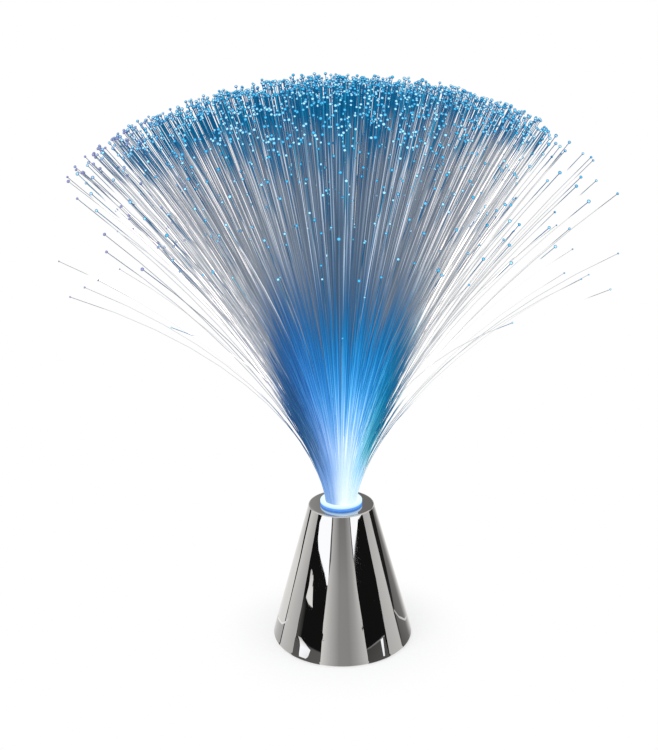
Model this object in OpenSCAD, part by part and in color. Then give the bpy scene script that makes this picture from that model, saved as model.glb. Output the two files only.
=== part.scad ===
// Fibre optic lamp: a chrome cone with a spray of light-carrying strands.
// Millimetres, +Z up, origin on the table under the middle of the cone.
// Three colour lamps inside the cone shine into the polished end of the strand bundle.

/* [Base shell] */
// Widest diameter of the chrome cone
base_d = 80; // [77:1:96]
// Height of the cone, from the table to its top face
base_h = 82; // [80:1:100]
// Diameter that the cone's side runs to at the top, before its edge is rounded
top_d = 36.5; // [36:0.5:48]
// Thickness of the cone's side wall
shell_wall = 2.2; // [1.6:0.1:2.8]
// Thickness of the cone's top wall
top_wall = 2.6; // [2:0.1:4]
// Rounding of the edge that stands on the table
foot_round = 2; // [1:0.5:3]
// Rounding of the cone's top edge
top_round = 1; // [1:0.5:3]
// Width of the flat ring that stands on the table
foot_w = 2.2; // [1.6:0.1:3]

/* [Base plate] */
// Thickness of the black plate that closes the cone
plate_t = 2.4; // [2.2:0.1:3]
// Height of the plate's underside above the table
plate_recess = 1.2; // [1:0.1:2]
// Diameter of the screw bosses inside the cone
boss_d = 6; // [5:0.5:7]
// Angle of each boss from the X axis
boss_angle = 34; // [32:1:38]
// Depth of the pilot hole in each boss
pilot_depth = 12; // [9:1:20]

/* [Batteries] */
// Diameter of one cell
cell_d = 10.5; // [10:0.1:10.8]
// Length of one cell with its button
cell_l = 44.5; // [43:0.1:45]
// Diameter of a cell's button
button_d = 3.8; // [3:0.1:4.5]
// Height of a cell's button
button_h = 1; // [0.6:0.1:1.4]
// Free length of a contact spring in the bay
spring_l = 4.2; // [3.6:0.1:5]
// Thickness of the contact strip
contact_t = 0.4; // [0.3:0.05:0.6]
// Width of a contact's solder tab
tab_strip_w = 2.5; // [2:0.1:3]
// Height of a contact's raised dimple
dimple_h = 0.6; // [0.4:0.1:1]

/* [Battery bay] */
// Thickness of the bay's walls
bay_wall = 1.4; // [1.2:0.1:1.8]
// Rounding of the bay's outer corners
bay_corner = 4; // [3:0.5:6]
// Thickness of the battery door
door_t = 1.6; // [1.4:0.1:2]
// How far the door laps under the bay's walls
door_lap = 1; // [0.8:0.1:1.1]
// Width of each tab that the door swings on
tab_w = 3.6; // [3:0.1:4]
// Thickness of a tab, and of the plate's lip under it
tab_t = 1.2; // [1:0.1:1.3]
// Reach of a tab past the plate's lip
tab_reach = 2.2; // [1.6:0.1:2.6]
// Width of the door's spring catch
catch_w = 9; // [7:0.5:11]
// Length of the slits beside the catch
catch_l = 8; // [6:0.5:10]
// Reach of the catch past the edge of the door's recess
catch_bite = 0.6; // [0.4:0.1:0.8]

/* [Switch] */
// Length of the slide switch's can
switch_l = 12; // [11:0.5:13]
// Width of the can
switch_w = 6; // [5.6:0.1:7]
// Height of the can
switch_h = 6; // [5.6:0.1:7]
// Length of the ear at each end of the can
ear_l = 3.6; // [3.2:0.1:4]
// Thickness of the can's metal
ear_t = 0.6; // [0.5:0.1:0.8]
// Length of the knob along its slot
knob_l = 3.6; // [3:0.1:4]
// Width of the knob
knob_w = 2.8; // [2.4:0.1:3]
// Travel of the knob from on to off
knob_travel = 3; // [2:0.1:3.2]
// Height of the knob's tip above the table
knob_tip = 0.5; // [0.4:0.1:0.8]

/* [Light unit] */
// Diameter of the circuit board
board_d = 37; // [36:1:40]
// Thickness of the circuit board
board_t = 1.6; // [1:0.1:2]
// Diameter of each lamp's lens
led_d = 5; // [4.5:0.1:5.2]
// Height of each lamp above the board
led_h = 8.6; // [8:0.1:9]
// Distance of each lamp from the middle
led_ring_r = 4; // [3.7:0.1:4.2]
// Diameter of the posts that carry the board
post_d = 4.4; // [4.2:0.1:5.2]
// Thickness of the white light cup at its thinnest
cup_wall = 2.4; // [2:0.1:2.6]
// Length of a chip resistor
resistor_l = 3.2; // [2:0.1:4]
// Width of a chip resistor
resistor_w = 1.6; // [1.2:0.1:2]
// Height of a chip resistor
resistor_h = 0.6; // [0.4:0.1:0.8]

/* [Collar] */
// Diameter of the bonded strand bundle
bundle_d = 18.3; // [17:0.1:19]
// Thickness of the collar's sleeve
collar_wall = 1.2; // [1:0.1:1.6]
// Diameter of the collar's flange
flange_d = 23.6; // [22.6:0.1:28]
// Thickness of the collar's flange
flange_t = 2.8; // [2:0.1:3.6]
// Length of the collar's sleeve below the cone's top face
sleeve_l = 20; // [16:0.5:22]
// Rounding of the flange's rim
flange_round = 0.8; // [0.4:0.1:1.2]
// Flare of the collar's bore at its top
bore_flare = 0.5; // [0.3:0.1:0.8]
// Depth of the bundle's top below the collar's top face
bundle_sink = 0.8; // [0.5:0.1:1.2]

/* [Strands] */
// Number of strands in the spray
strand_count = 300; // [300:4:332]
// Number of stray strands that lean out furthest
stray_count = 12; // [8:4:16]
// Thickness of a strand across its corners
strand_d = 0.64; // [0.5:0.02:0.66]
// Length of the longest strands above the bundle
strand_l = 234; // [225:1:250]
// Length of the stray strands
stray_l = 204; // [190:1:208]
// Lean of the outer strands at their tips
spread_angle = 51; // [40:1:54]
// Lean of the stray strands at their tips
stray_angle = 65; // [58:1:68]
// Distance of the outermost strands from the bundle's edge
strand_margin = 0.3; // [0.2:0.05:0.4]
// Width of the ring at the bundle's edge that only stray strands grow from
stray_ring_w = 0.95; // [0.9:0.05:1.2]

/* [Screws] */
// Thread diameter of the screws
screw_d = 2.2; // [2:0.1:2.6]
// Diameter of the screw heads
head_d = 4.4; // [4:0.1:5]
// Height of the screw heads
head_h = 1.3; // [1:0.1:1.4]
// Length of the plate's screws under the head
plate_screw_l = 9; // [7:0.5:12]
// Length of the board's screws under the head
board_screw_l = 7; // [5:0.5:9]

/* [Clearances] */
// Gap round the collar's sleeve in its socket
socket_gap = 0.3; // [0.2:0.05:0.5]
// Glue gap between the bundle and the collar
glue_gap = 0.1; // [0.05:0.05:0.2]
// Gap round the base plate in the cone
plate_gap = 0.25; // [0.15:0.05:0.4]
// Gap round the battery door
door_gap = 0.25; // [0.15:0.05:0.4]
// Gap round each cell in the bay
cell_gap = 0.4; // [0.3:0.05:0.6]
// Gap round the knob and its slider
knob_gap = 0.2; // [0.15:0.05:0.3]
// Gap between a screw and its pilot hole
thread_gap = 0.05; // [0.03:0.01:0.1]
// Gap round a screw in the piece that it holds
screw_gap = 0.2; // [0.15:0.05:0.3]
// Gap from the lamps' tips to the bundle's polished end
lamp_gap = 1.4; // [1:0.1:2]

/* [Hidden] */
$fn = 72;
eps = 0.01;

// Cone: its side's slope, its radius at a height, and the middles of the two rounded edges
side_slope = (base_d - top_d) / 2 / (base_h - foot_round);
side_tilt = atan(side_slope);
widest_z = foot_round * (1 + sin(side_tilt));
wall_across = shell_wall / cos(side_tilt);
function cone_r(z) = base_d / 2 - (z - widest_z) * side_slope;
function inner_r(z) = cone_r(z) - wall_across;
foot_x = cone_r(foot_round) - foot_round / cos(side_tilt);
top_x = cone_r(base_h - top_round) - top_round / cos(side_tilt);
ceiling_z = base_h - top_wall;
rim_r = foot_x - foot_w;
straight_z = widest_z + (base_d / 2 - wall_across - rim_r) / side_slope;

// Base plate and its screws
plate_z = plate_recess;
plate_top = plate_z + plate_t;
plate_r = rim_r - plate_gap;
boss_inset = 1.2;
boss_c = rim_r - boss_inset - boss_d / 2;
boss_at = [boss_c * cos(boss_angle), boss_c * sin(boss_angle)];
pilot_r = screw_d / 2 + thread_gap;

// Battery bay, door and catch
cell_space = 0.5;
cell_pitch = cell_d + cell_space;
trough_r = cell_d / 2 + cell_gap;
cell_lift = 0.4;
cell_z = plate_z + door_t + cell_lift + cell_d / 2;
bay_w = 2 * (cell_pitch + trough_r);
mouth_w = 2 * (cell_pitch + trough_r * cos(10));
bay_l = 2 * contact_t + dimple_h + cell_l + spring_l;
bay_top = cell_z + trough_r + bay_wall;
cell_shift = (spring_l - dimple_h) / 2;
door_w = mouth_w + 2 * door_lap;
door_l = bay_l + 2 * door_lap;
door_corner = 1.5;
hinge_y = -(door_l - door_t) / 2;
hinge_z = plate_z + door_t / 2;
tab_gap = 0.25;
tab_x = cell_pitch / 2;
tab_low = plate_z + tab_t + tab_gap;
tab_tip_y = -(door_l / 2 + door_gap + tab_reach);
tab_sweep = norm([hinge_y - tab_tip_y, tab_low + tab_t - hinge_z]);
window_top = hinge_z + tab_sweep + tab_gap;
contact_low = window_top + tab_gap;
contact_high = cell_z + cell_d * 0.28;
strap_high = cell_z + cell_d * 0.1;
contact_w = cell_d * 0.76;
tab_stand = 3;
solder_z = bay_top + tab_stand;
catch_h = 0.8;
spring_wire_d = 0.6;

// Switch
switch_x = (bay_w / 2 + bay_wall + rim_r) / 2;
switch_z = plate_top + ear_t;
switch_top = plate_top + switch_h;
slider_h = 2;
slider_l = knob_l + 1.4;
slider_w = knob_w + 0.8;
stake_r = 0.8;
stake_y = switch_l / 2 + ear_l / 2;
pin_pitch = 3;
pin_h = 3;
knob_on_y = knob_travel / 2;

// Collar, light unit and bundle
bundle_r = bundle_d / 2;
sleeve_r = bundle_r + glue_gap + collar_wall;
socket_r = sleeve_r + socket_gap;
socket_wall = 1.2;
sleeve_low = base_h - sleeve_l;
board_top = sleeve_low - lamp_gap - led_h;
board_z = board_top - board_t;
socket_below = 1.5;
socket_low = sleeve_low - socket_below;
cup_r = socket_r + socket_wall;
post_gap = 0.2;
post_c = min(cup_r + post_gap, inner_r(ceiling_z) - post_gap - post_d) + post_d / 2;
post_angles = [60, 180, 300];
led_angles = [90, 210, 330];
leg_pitch = 2.54;
leg_w = 0.5;
leg_under = 1.5;
board_pilot_depth = 10;
resistor_pitch = leg_pitch * 2;
resistor_y = led_ring_r + led_d;
bundle_top = base_h + flange_t - bundle_sink;

// Strands: sunflower layout, and the stations along a strand where it has a ring
golden = 137.50776;
field_count = strand_count - stray_count;
stray_r = bundle_r - strand_d / 2 - strand_margin;
field_r = stray_r - stray_ring_w;
bend_power = 0.36;
stations = 20;
field_rings = [0, 2, 6, 12, 20];
stray_rings = [0, 1, 2, 4, 6, 9, 12, 16, 20];
strand_sides = 3;
strand_root = 1;

// Wires: chosen points between the solder tabs, the switch and the board.
// The first and last stretch of each runs straight, square to what it is soldered to.
wire_d = 1.4;
wire_stub = 2;
pin_top = switch_top + pin_h;
wire_end_x = 7.5;
wire_end_y = -6.5;
wire_plus_route = [
    [cell_pitch, bay_l / 2 - contact_t / 2, solder_z],
    [cell_pitch, bay_l / 2 - contact_t / 2, solder_z + wire_stub],
    [14, 20, solder_z + 4.5], [19, 13, solder_z + 4.5], [24, 7, solder_z + 2.5],
    [switch_x, pin_pitch, pin_top + wire_stub],
    [switch_x, pin_pitch, pin_top]
];
wire_switched_route = [
    [switch_x, 0, pin_top], [switch_x, 0, pin_top + wire_stub],
    [24, -2, pin_top + 10.5], [17, -5, board_z - 15.5], [10, -6.5, board_z - 6.5],
    [wire_end_x, wire_end_y, board_z - wire_stub], [wire_end_x, wire_end_y, board_z]
];
wire_minus_route = [
    [-cell_pitch, contact_t / 2 - bay_l / 2, solder_z],
    [-cell_pitch, contact_t / 2 - bay_l / 2, solder_z + wire_stub],
    [-13, -20, solder_z + 10.5], [-12, -13, board_z - 12.5], [-8.5, -7.5, board_z - 5.5],
    [-wire_end_x, wire_end_y, board_z - wire_stub], [-wire_end_x, wire_end_y, board_z]
];

// ---------- shared forms ----------

// Flat rounded rectangle with true arcs
module rounded_rect(x, y, r) {
    square([x - 2 * r, y], center = true);
    square([x, y - 2 * r], center = true);
    for (sx = [-1, 1], sy = [-1, 1])
        translate([sx * (x / 2 - r), sy * (y / 2 - r)])
            circle(r);
}

// Places its children at the four boss positions
module at_bosses() {
    for (sx = [-1, 1], sy = [-1, 1])
        translate([sx * boss_at[0], sy * boss_at[1], 0])
            children();
}

// Places its children at the board's posts
module at_posts() {
    for (a = post_angles)
        rotate([0, 0, a])
            translate([post_c, 0, 0])
                children();
}

// Pan-head screw with a cross recess, head down, its seat at z = 0 and its shank up
module screw(length) {
    difference() {
        union() {
            translate([0, 0, -head_h])
                cylinder(d = head_d, h = head_h);
            translate([0, 0, -eps])
                cylinder(d = screw_d, h = length - screw_d / 2 + eps);
            translate([0, 0, length - screw_d / 2])
                cylinder(d1 = screw_d, d2 = screw_d / 4, h = screw_d / 2);
        }
        for (turn = [0, 90])
            rotate([0, 0, turn])
                translate([0, 0, -head_h])
                    cube([head_d * 0.55, head_d * 0.15, head_h], center = true);
    }
}

// Points on a smooth curve through a route, with the given steps between its points,
// and its first and last stretch straight
function spline_point(a, b, c, d, t) =
    0.5 * ((2 * b) + (c - a) * t + (2 * a - 5 * b + 4 * c - d) * t * t
        + (3 * b - a - 3 * c + d) * t * t * t);
function smooth_route(p, steps) = let (n = len(p)) [
    p[0],
    for (i = [1:n - 3], j = [0:steps - 1])
        spline_point(p[i - 1], p[i], p[i + 1], p[i + 2], j / steps),
    p[n - 2], p[n - 1]
];

// Directions along a path, and side vectors carried along it without twist
function unit(v) = v / norm(v);
function headings(p) = let (n = len(p)) [
    for (i = [0:n - 1]) unit(p[min(i + 1, n - 1)] - p[max(i - 1, 0)])
];
function carried(t, i, v) = let (w = unit(v - (v * t[i]) * t[i]))
    i == len(t) - 1 ? [w] : concat([w], carried(t, i + 1, w));

// Tube swept along a path
module tube(path, r, sides) {
    t = headings(path);
    side = carried(t, 0, abs(t[0].x) < 0.7 ? [1, 0, 0] : [0, 1, 0]);
    n = len(path);
    points = [
        for (i = [0:n - 1], s = [0:sides - 1])
            let (a = 360 * s / sides)
                path[i] + r * (cos(a) * side[i] + sin(a) * cross(t[i], side[i]))
    ];
    walls = [
        for (i = [0:n - 2], s = [0:sides - 1])
            let (a = i * sides + s, b = i * sides + (s + 1) % sides)
                each [[a, a + sides, b], [b, a + sides, b + sides]]
    ];
    low = [[for (s = [0:sides - 1]) s]];
    high = [[for (s = [sides - 1:-1:0]) (n - 1) * sides + s]];
    polyhedron(points, concat(low, walls, high));
}

// ---------- base ----------

// Half section of the cone's outside, with both edges rounded
module cone_section() {
    polygon([
        [0, 0], [foot_x, 0],
        [base_d / 2, widest_z],
        [top_x + top_round * cos(side_tilt), base_h - top_round * (1 - sin(side_tilt))],
        [top_x, base_h], [0, base_h]
    ]);
    translate([foot_x, foot_round])
        circle(foot_round);
    translate([top_x, base_h - top_round])
        circle(top_round);
}

// Half section of the hollow inside the cone, straight where the base plate goes in
module hollow_section() {
    polygon([
        [0, -1], [rim_r, -1], [rim_r, straight_z],
        [inner_r(ceiling_z), ceiling_z], [0, ceiling_z]
    ]);
}

// Screw bosses for the plate, as tall as the sloping wall leaves them hidden
module plate_bosses() {
    boss_top = widest_z + (base_d / 2 - boss_c - boss_d / 2) / side_slope - 1;
    at_bosses()
        translate([0, 0, plate_top])
            cylinder(d = boss_d, h = boss_top - plate_top);
}

// Posts for the circuit board, each with a web that runs out into the sloping wall
module board_posts() {
    web_t = 1.4;
    web_low = board_top + 4;
    high = ceiling_z + top_wall / 2;
    at_posts()
        translate([0, 0, board_top])
            cylinder(d = post_d, h = high - board_top);
    for (a = post_angles)
        rotate([0, 0, a])
            rotate([90, 0, 0])
                linear_extrude(web_t, center = true)
                    polygon([
                        [post_c, web_low], [inner_r(web_low) + shell_wall / 2, web_low],
                        [inner_r(high) + shell_wall / 2, high], [post_c, high]
                    ]);
}

module base_shell() {
    color([0.78, 0.78, 0.8])
        difference() {
            union() {
                difference() {
                    rotate_extrude() cone_section();
                    rotate_extrude() hollow_section();
                }
                translate([0, 0, socket_low])
                    cylinder(r = cup_r, h = base_h - socket_low - top_wall / 2);
                plate_bosses();
                board_posts();
            }
            translate([0, 0, socket_low - 1])
                cylinder(r = socket_r, h = base_h - socket_low + 2);
            at_bosses()
                translate([0, 0, plate_top - 1])
                    cylinder(r = pilot_r, h = pilot_depth + 1);
            at_posts()
                translate([0, 0, board_top - 1])
                    cylinder(r = pilot_r, h = board_pilot_depth + 1);
        }
}

// Room for the cells: an open mouth with three rounded troughs over it
module bay_room() {
    translate([-mouth_w / 2, -bay_l / 2, plate_z - 1])
        cube([mouth_w, bay_l, cell_z - plate_z + 1]);
    for (k = [-1:1])
        translate([k * cell_pitch, 0, cell_z])
            rotate([90, 0, 0])
                cylinder(r = trough_r, h = bay_l, center = true);
}

// Recess for the door, square at the back for its heel, windows for its tabs, catch's pocket
module door_seat() {
    translate([0, 0, plate_z - 1])
        linear_extrude(door_t + 1)
            rounded_rect(door_w + 2 * door_gap, door_l + 2 * door_gap, door_corner);
    translate([-door_w / 2 - door_gap, -door_l / 2 - door_gap, plate_z - 1])
        cube([door_w + 2 * door_gap, 2 * door_corner, door_t + 1]);
    for (sx = [-1, 1])
        translate([sx * tab_x - tab_w / 2 - tab_gap, tab_tip_y - tab_gap, plate_z + tab_t])
            cube([
                tab_w + 2 * tab_gap,
                -bay_l / 2 - tab_tip_y + tab_gap + eps,
                window_top - plate_z - tab_t
            ]);
    translate([-catch_w / 2 - door_gap, door_l / 2, plate_z + door_t - catch_h - 0.2])
        cube([catch_w + 2 * door_gap, 2 * door_gap + catch_bite, catch_h + 0.4]);
}

// Slots in the bay's roof for the solder tabs of the plus and minus contacts
module solder_slots() {
    slot_y = contact_t + 0.2;
    for (side = [-1, 1])
        translate([
            side * cell_pitch - tab_strip_w / 2 - 0.2,
            side > 0 ? bay_l / 2 - slot_y : -bay_l / 2,
            cell_z
        ])
            cube([tab_strip_w + 0.4, slot_y, bay_top - cell_z + 1]);
}

module base_plate() {
    scoop_depth = 0.8;
    color([0.09, 0.09, 0.1]) {
        difference() {
            union() {
                translate([0, 0, plate_z])
                    cylinder(r = plate_r, h = plate_t);
                translate([0, 0, plate_z])
                    linear_extrude(bay_top - plate_z)
                        rounded_rect(bay_w + 2 * bay_wall, bay_l + 2 * bay_wall, bay_corner);
            }
            bay_room();
            door_seat();
            solder_slots();
            at_bosses() {
                translate([0, 0, plate_z - 1])
                    cylinder(r = screw_d / 2 + screw_gap, h = plate_t + 2);
                translate([0, 0, plate_z - 1])
                    cylinder(r = head_d / 2 + screw_gap, h = head_h + 1);
            }
            translate([switch_x, 0, plate_z - 1])
                linear_extrude(scoop_depth + 1)
                    rounded_rect(switch_w + 3, switch_l + 1, 4);
            translate([switch_x, 0, plate_z + plate_t / 2])
                cube([
                    knob_w + 2 * knob_gap,
                    knob_l + knob_travel + 2 * knob_gap,
                    plate_t + 2
                ], center = true);
        }
        for (side = [-1, 1])
            translate([switch_x, side * stake_y, plate_top - eps]) {
                cylinder(r = stake_r, h = ear_t + 0.7);
                translate([0, 0, ear_t + eps])
                    cylinder(r1 = stake_r * 1.9, r2 = stake_r * 1.3, h = 0.7);
            }
    }
}

module plate_screws() {
    color([0.7, 0.7, 0.72])
        at_bosses()
            translate([0, 0, plate_z + head_h])
                screw(plate_screw_l);
}

// Battery door: round heel on the swing axis, two tabs behind it, spring catch in front
module battery_door() {
    slit_w = 1;
    rib_l = 6;
    rib_h = 0.4;
    color([0.11, 0.11, 0.12]) {
        difference() {
            union() {
                translate([0, 0, plate_z])
                    linear_extrude(door_t)
                        intersection() {
                            rounded_rect(door_w, door_l, door_corner);
                            translate([-door_w / 2, hinge_y])
                                square([door_w, door_l]);
                        }
                translate([0, hinge_y, hinge_z])
                    rotate([0, 90, 0])
                        cylinder(d = door_t, h = door_w, center = true);
            }
            for (side = [-1, 1])
                translate([
                    side * (catch_w + slit_w) / 2 - slit_w / 2,
                    door_l / 2 - catch_l,
                    plate_z - 1
                ])
                    cube([slit_w, catch_l + 1, door_t + 2]);
        }
        for (sx = [-1, 1])
            translate([sx * tab_x - tab_w / 2, tab_tip_y, tab_low])
                cube([tab_w, hinge_y - tab_tip_y + 1, tab_t]);
        for (sx = [-1, 1])
            translate([sx * tab_x - tab_w / 2, hinge_y, plate_z + door_t / 2])
                cube([tab_w, 1, tab_low - plate_z]);
        translate([-catch_w / 2, door_l / 2 - eps, plate_z + door_t - catch_h])
            cube([catch_w, door_gap + catch_bite + eps, catch_h]);
        for (k = [0:2])
            translate([-rib_l / 2, door_l / 2 - 2 - k * 1.8, plate_z - rib_h])
                cube([rib_l, 0.8, rib_h + eps]);
    }
}

// ---------- batteries and contacts ----------

// One cell along Y, its button towards +Y, with rolled edges and a groove near the button
module cell() {
    body_l = cell_l - button_h;
    roll = 0.5;
    groove = 0.3;
    rotate([-90, 0, 0])
        translate([0, 0, -cell_l / 2])
            rotate_extrude()
                polygon([
                    [0, 0], [cell_d / 2 - roll, 0], [cell_d / 2, roll],
                    [cell_d / 2, body_l - 3], [cell_d / 2 - groove, body_l - 2.6],
                    [cell_d / 2, body_l - 2.2], [cell_d / 2, body_l - roll],
                    [cell_d / 2 - roll, body_l], [button_d / 2, body_l],
                    [button_d / 2, cell_l], [0, cell_l]
                ]);
}

// Cell number k from the left; the middle one is turned round
module battery(k) {
    color([0.16, 0.3, 0.2])
        translate([(k - 2) * cell_pitch, (k == 2 ? -1 : 1) * cell_shift, cell_z])
            rotate([0, 0, k == 2 ? 180 : 0])
                cell();
}

// Places its children on a bay end wall, with +Y pointing into the bay
module at_bay_end(side) {
    translate([0, side * bay_l / 2, 0])
        rotate([0, 0, side > 0 ? 180 : 0])
            children();
}

// Contact pad on the end wall, in front of the cell at x
module contact_pad(x) {
    translate([x - contact_w / 2, 0, contact_low])
        cube([contact_w, contact_t, contact_high - contact_low]);
}

// Raised dimple that meets a cell's button
module contact_dimple(x) {
    translate([x, contact_t - eps, cell_z])
        rotate([-90, 0, 0])
            cylinder(r1 = button_d * 0.45, r2 = button_d * 0.3, h = dimple_h + eps);
}

// Tab that stands up through the bay's roof for a wire
module solder_tab(x) {
    translate([x - tab_strip_w / 2, 0, contact_high - 1])
        cube([tab_strip_w, contact_t, solder_z - contact_high + 1]);
}

// Strap that joins two neighbouring pads
module bridge(x0, x1) {
    contact_pad(x0);
    contact_pad(x1);
    translate([min(x0, x1), 0, contact_low])
        cube([abs(x1 - x0), contact_t, strap_high - contact_low]);
}

module contact_plus() {
    color([0.8, 0.78, 0.7])
        at_bay_end(1) {
            contact_pad(-cell_pitch);
            contact_dimple(-cell_pitch);
            solder_tab(-cell_pitch);
        }
}

module contact_minus() {
    color([0.8, 0.78, 0.7])
        at_bay_end(-1) {
            contact_pad(-cell_pitch);
            solder_tab(-cell_pitch);
        }
}

module contact_bridge_front() {
    color([0.8, 0.78, 0.7])
        at_bay_end(1) {
            bridge(cell_pitch, 0);
            contact_dimple(cell_pitch);
        }
}

module contact_bridge_back() {
    color([0.8, 0.78, 0.7])
        at_bay_end(-1) {
            bridge(0, cell_pitch);
            contact_dimple(0);
        }
}

// Tapered contact spring along +Y, wound from its foot to its small end
module contact_spring() {
    turns = 3;
    per_turn = 8;
    foot_coil = cell_d * 0.32;
    tip_coil = cell_d * 0.2;
    lift = 0.05;
    run = spring_l - spring_wire_d - 2 * lift;
    path = [
        for (i = [0:turns * per_turn])
            let (f = i / (turns * per_turn), r = foot_coil + (tip_coil - foot_coil) * f)
                [
                    r * cos(360 * turns * f),
                    lift + spring_wire_d / 2 + run * f,
                    r * sin(360 * turns * f)
                ]
    ];
    tube(path, spring_wire_d / 2, 6);
}

module contact_springs() {
    color([0.75, 0.75, 0.72]) {
        at_bay_end(-1)
            for (x = [-cell_pitch, cell_pitch])
                translate([x, contact_t, cell_z])
                    contact_spring();
        at_bay_end(1)
            translate([0, contact_t, cell_z])
                contact_spring();
    }
}

// ---------- switch ----------

// Metal can with two ears, room for the slider and three solder pins
module switch_body() {
    room_h = slider_h + 2 * knob_gap;
    color([0.72, 0.72, 0.7])
        translate([switch_x, 0, 0])
            difference() {
                union() {
                    translate([-switch_w / 2, -switch_l / 2 - ear_l, plate_top])
                        cube([switch_w, switch_l + 2 * ear_l, ear_t]);
                    translate([-switch_w / 2, -switch_l / 2, plate_top])
                        cube([switch_w, switch_l, switch_h]);
                    for (k = [-1:1])
                        translate([-0.2, k * pin_pitch - 0.5, switch_top - eps])
                            cube([0.4, 1, pin_h + eps]);
                }
                translate([
                    -slider_w / 2 - knob_gap,
                    -(slider_l + knob_travel) / 2 - knob_gap,
                    switch_z
                ])
                    cube([slider_w + 2 * knob_gap, slider_l + knob_travel + 2 * knob_gap, room_h]);
                translate([
                    -knob_w / 2 - knob_gap,
                    -(knob_l + knob_travel) / 2 - knob_gap,
                    plate_top - 1
                ])
                    cube([knob_w + 2 * knob_gap, knob_l + knob_travel + 2 * knob_gap, ear_t + 2]);
                for (side = [-1, 1])
                    translate([0, side * stake_y, plate_top - 1])
                        cylinder(r = stake_r + 0.1, h = ear_t + 2);
            }
}

// Slider held inside the can, and the ribbed knob that shows under the plate
module switch_knob() {
    rib_count = 3;
    slot_pitch = knob_l / (rib_count + 0.5);
    color([0.85, 0.85, 0.83])
        translate([switch_x, knob_on_y, 0])
            difference() {
                union() {
                    translate([-slider_w / 2, -slider_l / 2, switch_z + knob_gap])
                        cube([slider_w, slider_l, slider_h]);
                    translate([-knob_w / 2, -knob_l / 2, knob_tip])
                        cube([knob_w, knob_l, switch_z + knob_gap - knob_tip + eps]);
                }
                for (k = [0:rib_count - 1])
                    translate([
                        -knob_w / 2 - 1,
                        (k - (rib_count - 1) / 2) * slot_pitch - slot_pitch / 4,
                        knob_tip - 1
                    ])
                        cube([knob_w + 2, slot_pitch / 2, 1.4]);
            }
}

// ---------- light unit ----------

module led_board() {
    color([0.1, 0.35, 0.16])
        difference() {
            translate([0, 0, board_z])
                cylinder(d = board_d, h = board_t);
            at_posts()
                translate([0, 0, board_z - 1])
                    cylinder(r = screw_d / 2 + screw_gap, h = board_t + 2);
            for (a = led_angles)
                rotate([0, 0, a])
                    for (side = [-1, 1])
                        translate([led_ring_r, side * leg_pitch / 2, board_z - 1])
                            cylinder(r = leg_w * 0.9, h = board_t + 2);
        }
}

// Lamp with a rim, a domed lens and two legs through the board
module led(a, tint) {
    dome_r = led_d / 2;
    color(tint)
        rotate([0, 0, a])
            translate([led_ring_r, 0, board_top]) {
                cylinder(r = dome_r + 0.4, h = 1);
                translate([0, 0, 1 - eps])
                    cylinder(r = dome_r, h = led_h - dome_r - 1 + eps);
                translate([0, 0, led_h - dome_r])
                    sphere(dome_r);
                for (side = [-1, 1])
                    translate([
                        -leg_w / 2,
                        side * leg_pitch / 2 - leg_w / 2,
                        -board_t - leg_under
                    ])
                        cube([leg_w, leg_w, board_t + leg_under + eps]);
            }
}

module resistors() {
    color([0.15, 0.15, 0.17])
        for (k = [-1:1])
            translate([
                k * resistor_pitch - resistor_w / 2,
                resistor_y - resistor_l / 2,
                board_z - resistor_h
            ])
                cube([resistor_w, resistor_l, resistor_h]);
}

// White ring between board and socket that turns the lamps' light upwards
module light_cup() {
    low_r = cup_r - cup_wall - 2;
    high_r = cup_r - cup_wall;
    color([0.95, 0.95, 0.93])
        rotate_extrude()
            polygon([
                [low_r, board_top], [cup_r, board_top],
                [cup_r, socket_low], [high_r, socket_low]
            ]);
}

module board_screws() {
    color([0.7, 0.7, 0.72])
        at_posts()
            translate([0, 0, board_z])
                screw(board_screw_l);
}

module wire_plus() {
    color([0.75, 0.08, 0.06])
        tube(smooth_route(wire_plus_route, 3), wire_d / 2, 8);
}

module wire_switched() {
    color([0.75, 0.08, 0.06])
        tube(smooth_route(wire_switched_route, 3), wire_d / 2, 8);
}

module wire_minus() {
    color([0.05, 0.05, 0.05])
        tube(smooth_route(wire_minus_route, 3), wire_d / 2, 8);
}

// ---------- fibre unit ----------

// Frosted sleeve that lights up, with a flange that rests on the cone and a flared bore
module collar() {
    flange_r = flange_d / 2;
    flange_top = base_h + flange_t;
    round_r = flange_r - flange_round;
    bore_r = bundle_r + glue_gap;
    chamfer = collar_wall / 2;
    color([0.85, 0.93, 1])
        rotate_extrude() {
            polygon([
                [bore_r, sleeve_low], [sleeve_r - chamfer, sleeve_low],
                [sleeve_r, sleeve_low + chamfer], [sleeve_r, base_h],
                [flange_r, base_h], [flange_r, flange_top - flange_round],
                [round_r, flange_top - flange_round], [round_r, flange_top],
                [bore_r + bore_flare, flange_top], [bore_r, flange_top - bore_flare]
            ]);
            translate([round_r, flange_top - flange_round])
                circle(flange_round);
        }
}

// Repeatable spread of numbers from 0 to 1
function spread01(i, step) = let (x = i * step) x - floor(x);

// Lean, length and foot of strand i; the last ones are the strays, evenly round the spray
function is_stray(i) = i >= field_count;
function strand_share(i) = (i + 0.5) / field_count;
function strand_turn(i) = is_stray(i) ? (i - field_count) * 360 / stray_count : i * golden;
function strand_foot(i) = is_stray(i) ? stray_r : field_r * sqrt(strand_share(i));
function strand_lean(i) = is_stray(i) ? stray_angle : spread_angle * pow(strand_share(i), 0.62);
function strand_reach(i) =
    is_stray(i) ? stray_l
    : i == 0 ? strand_l
    : i % 4 == 3 ? strand_l * (0.70 + 0.24 * spread01(i, 0.7549))
    : strand_l * (0.955 + 0.04 * spread01(i, 0.5698));

// Lean of strand i a share s of the way along it: most of the bend is near its foot
function lean_at(i, s) = strand_lean(i) * pow(s, bend_power);

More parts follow.
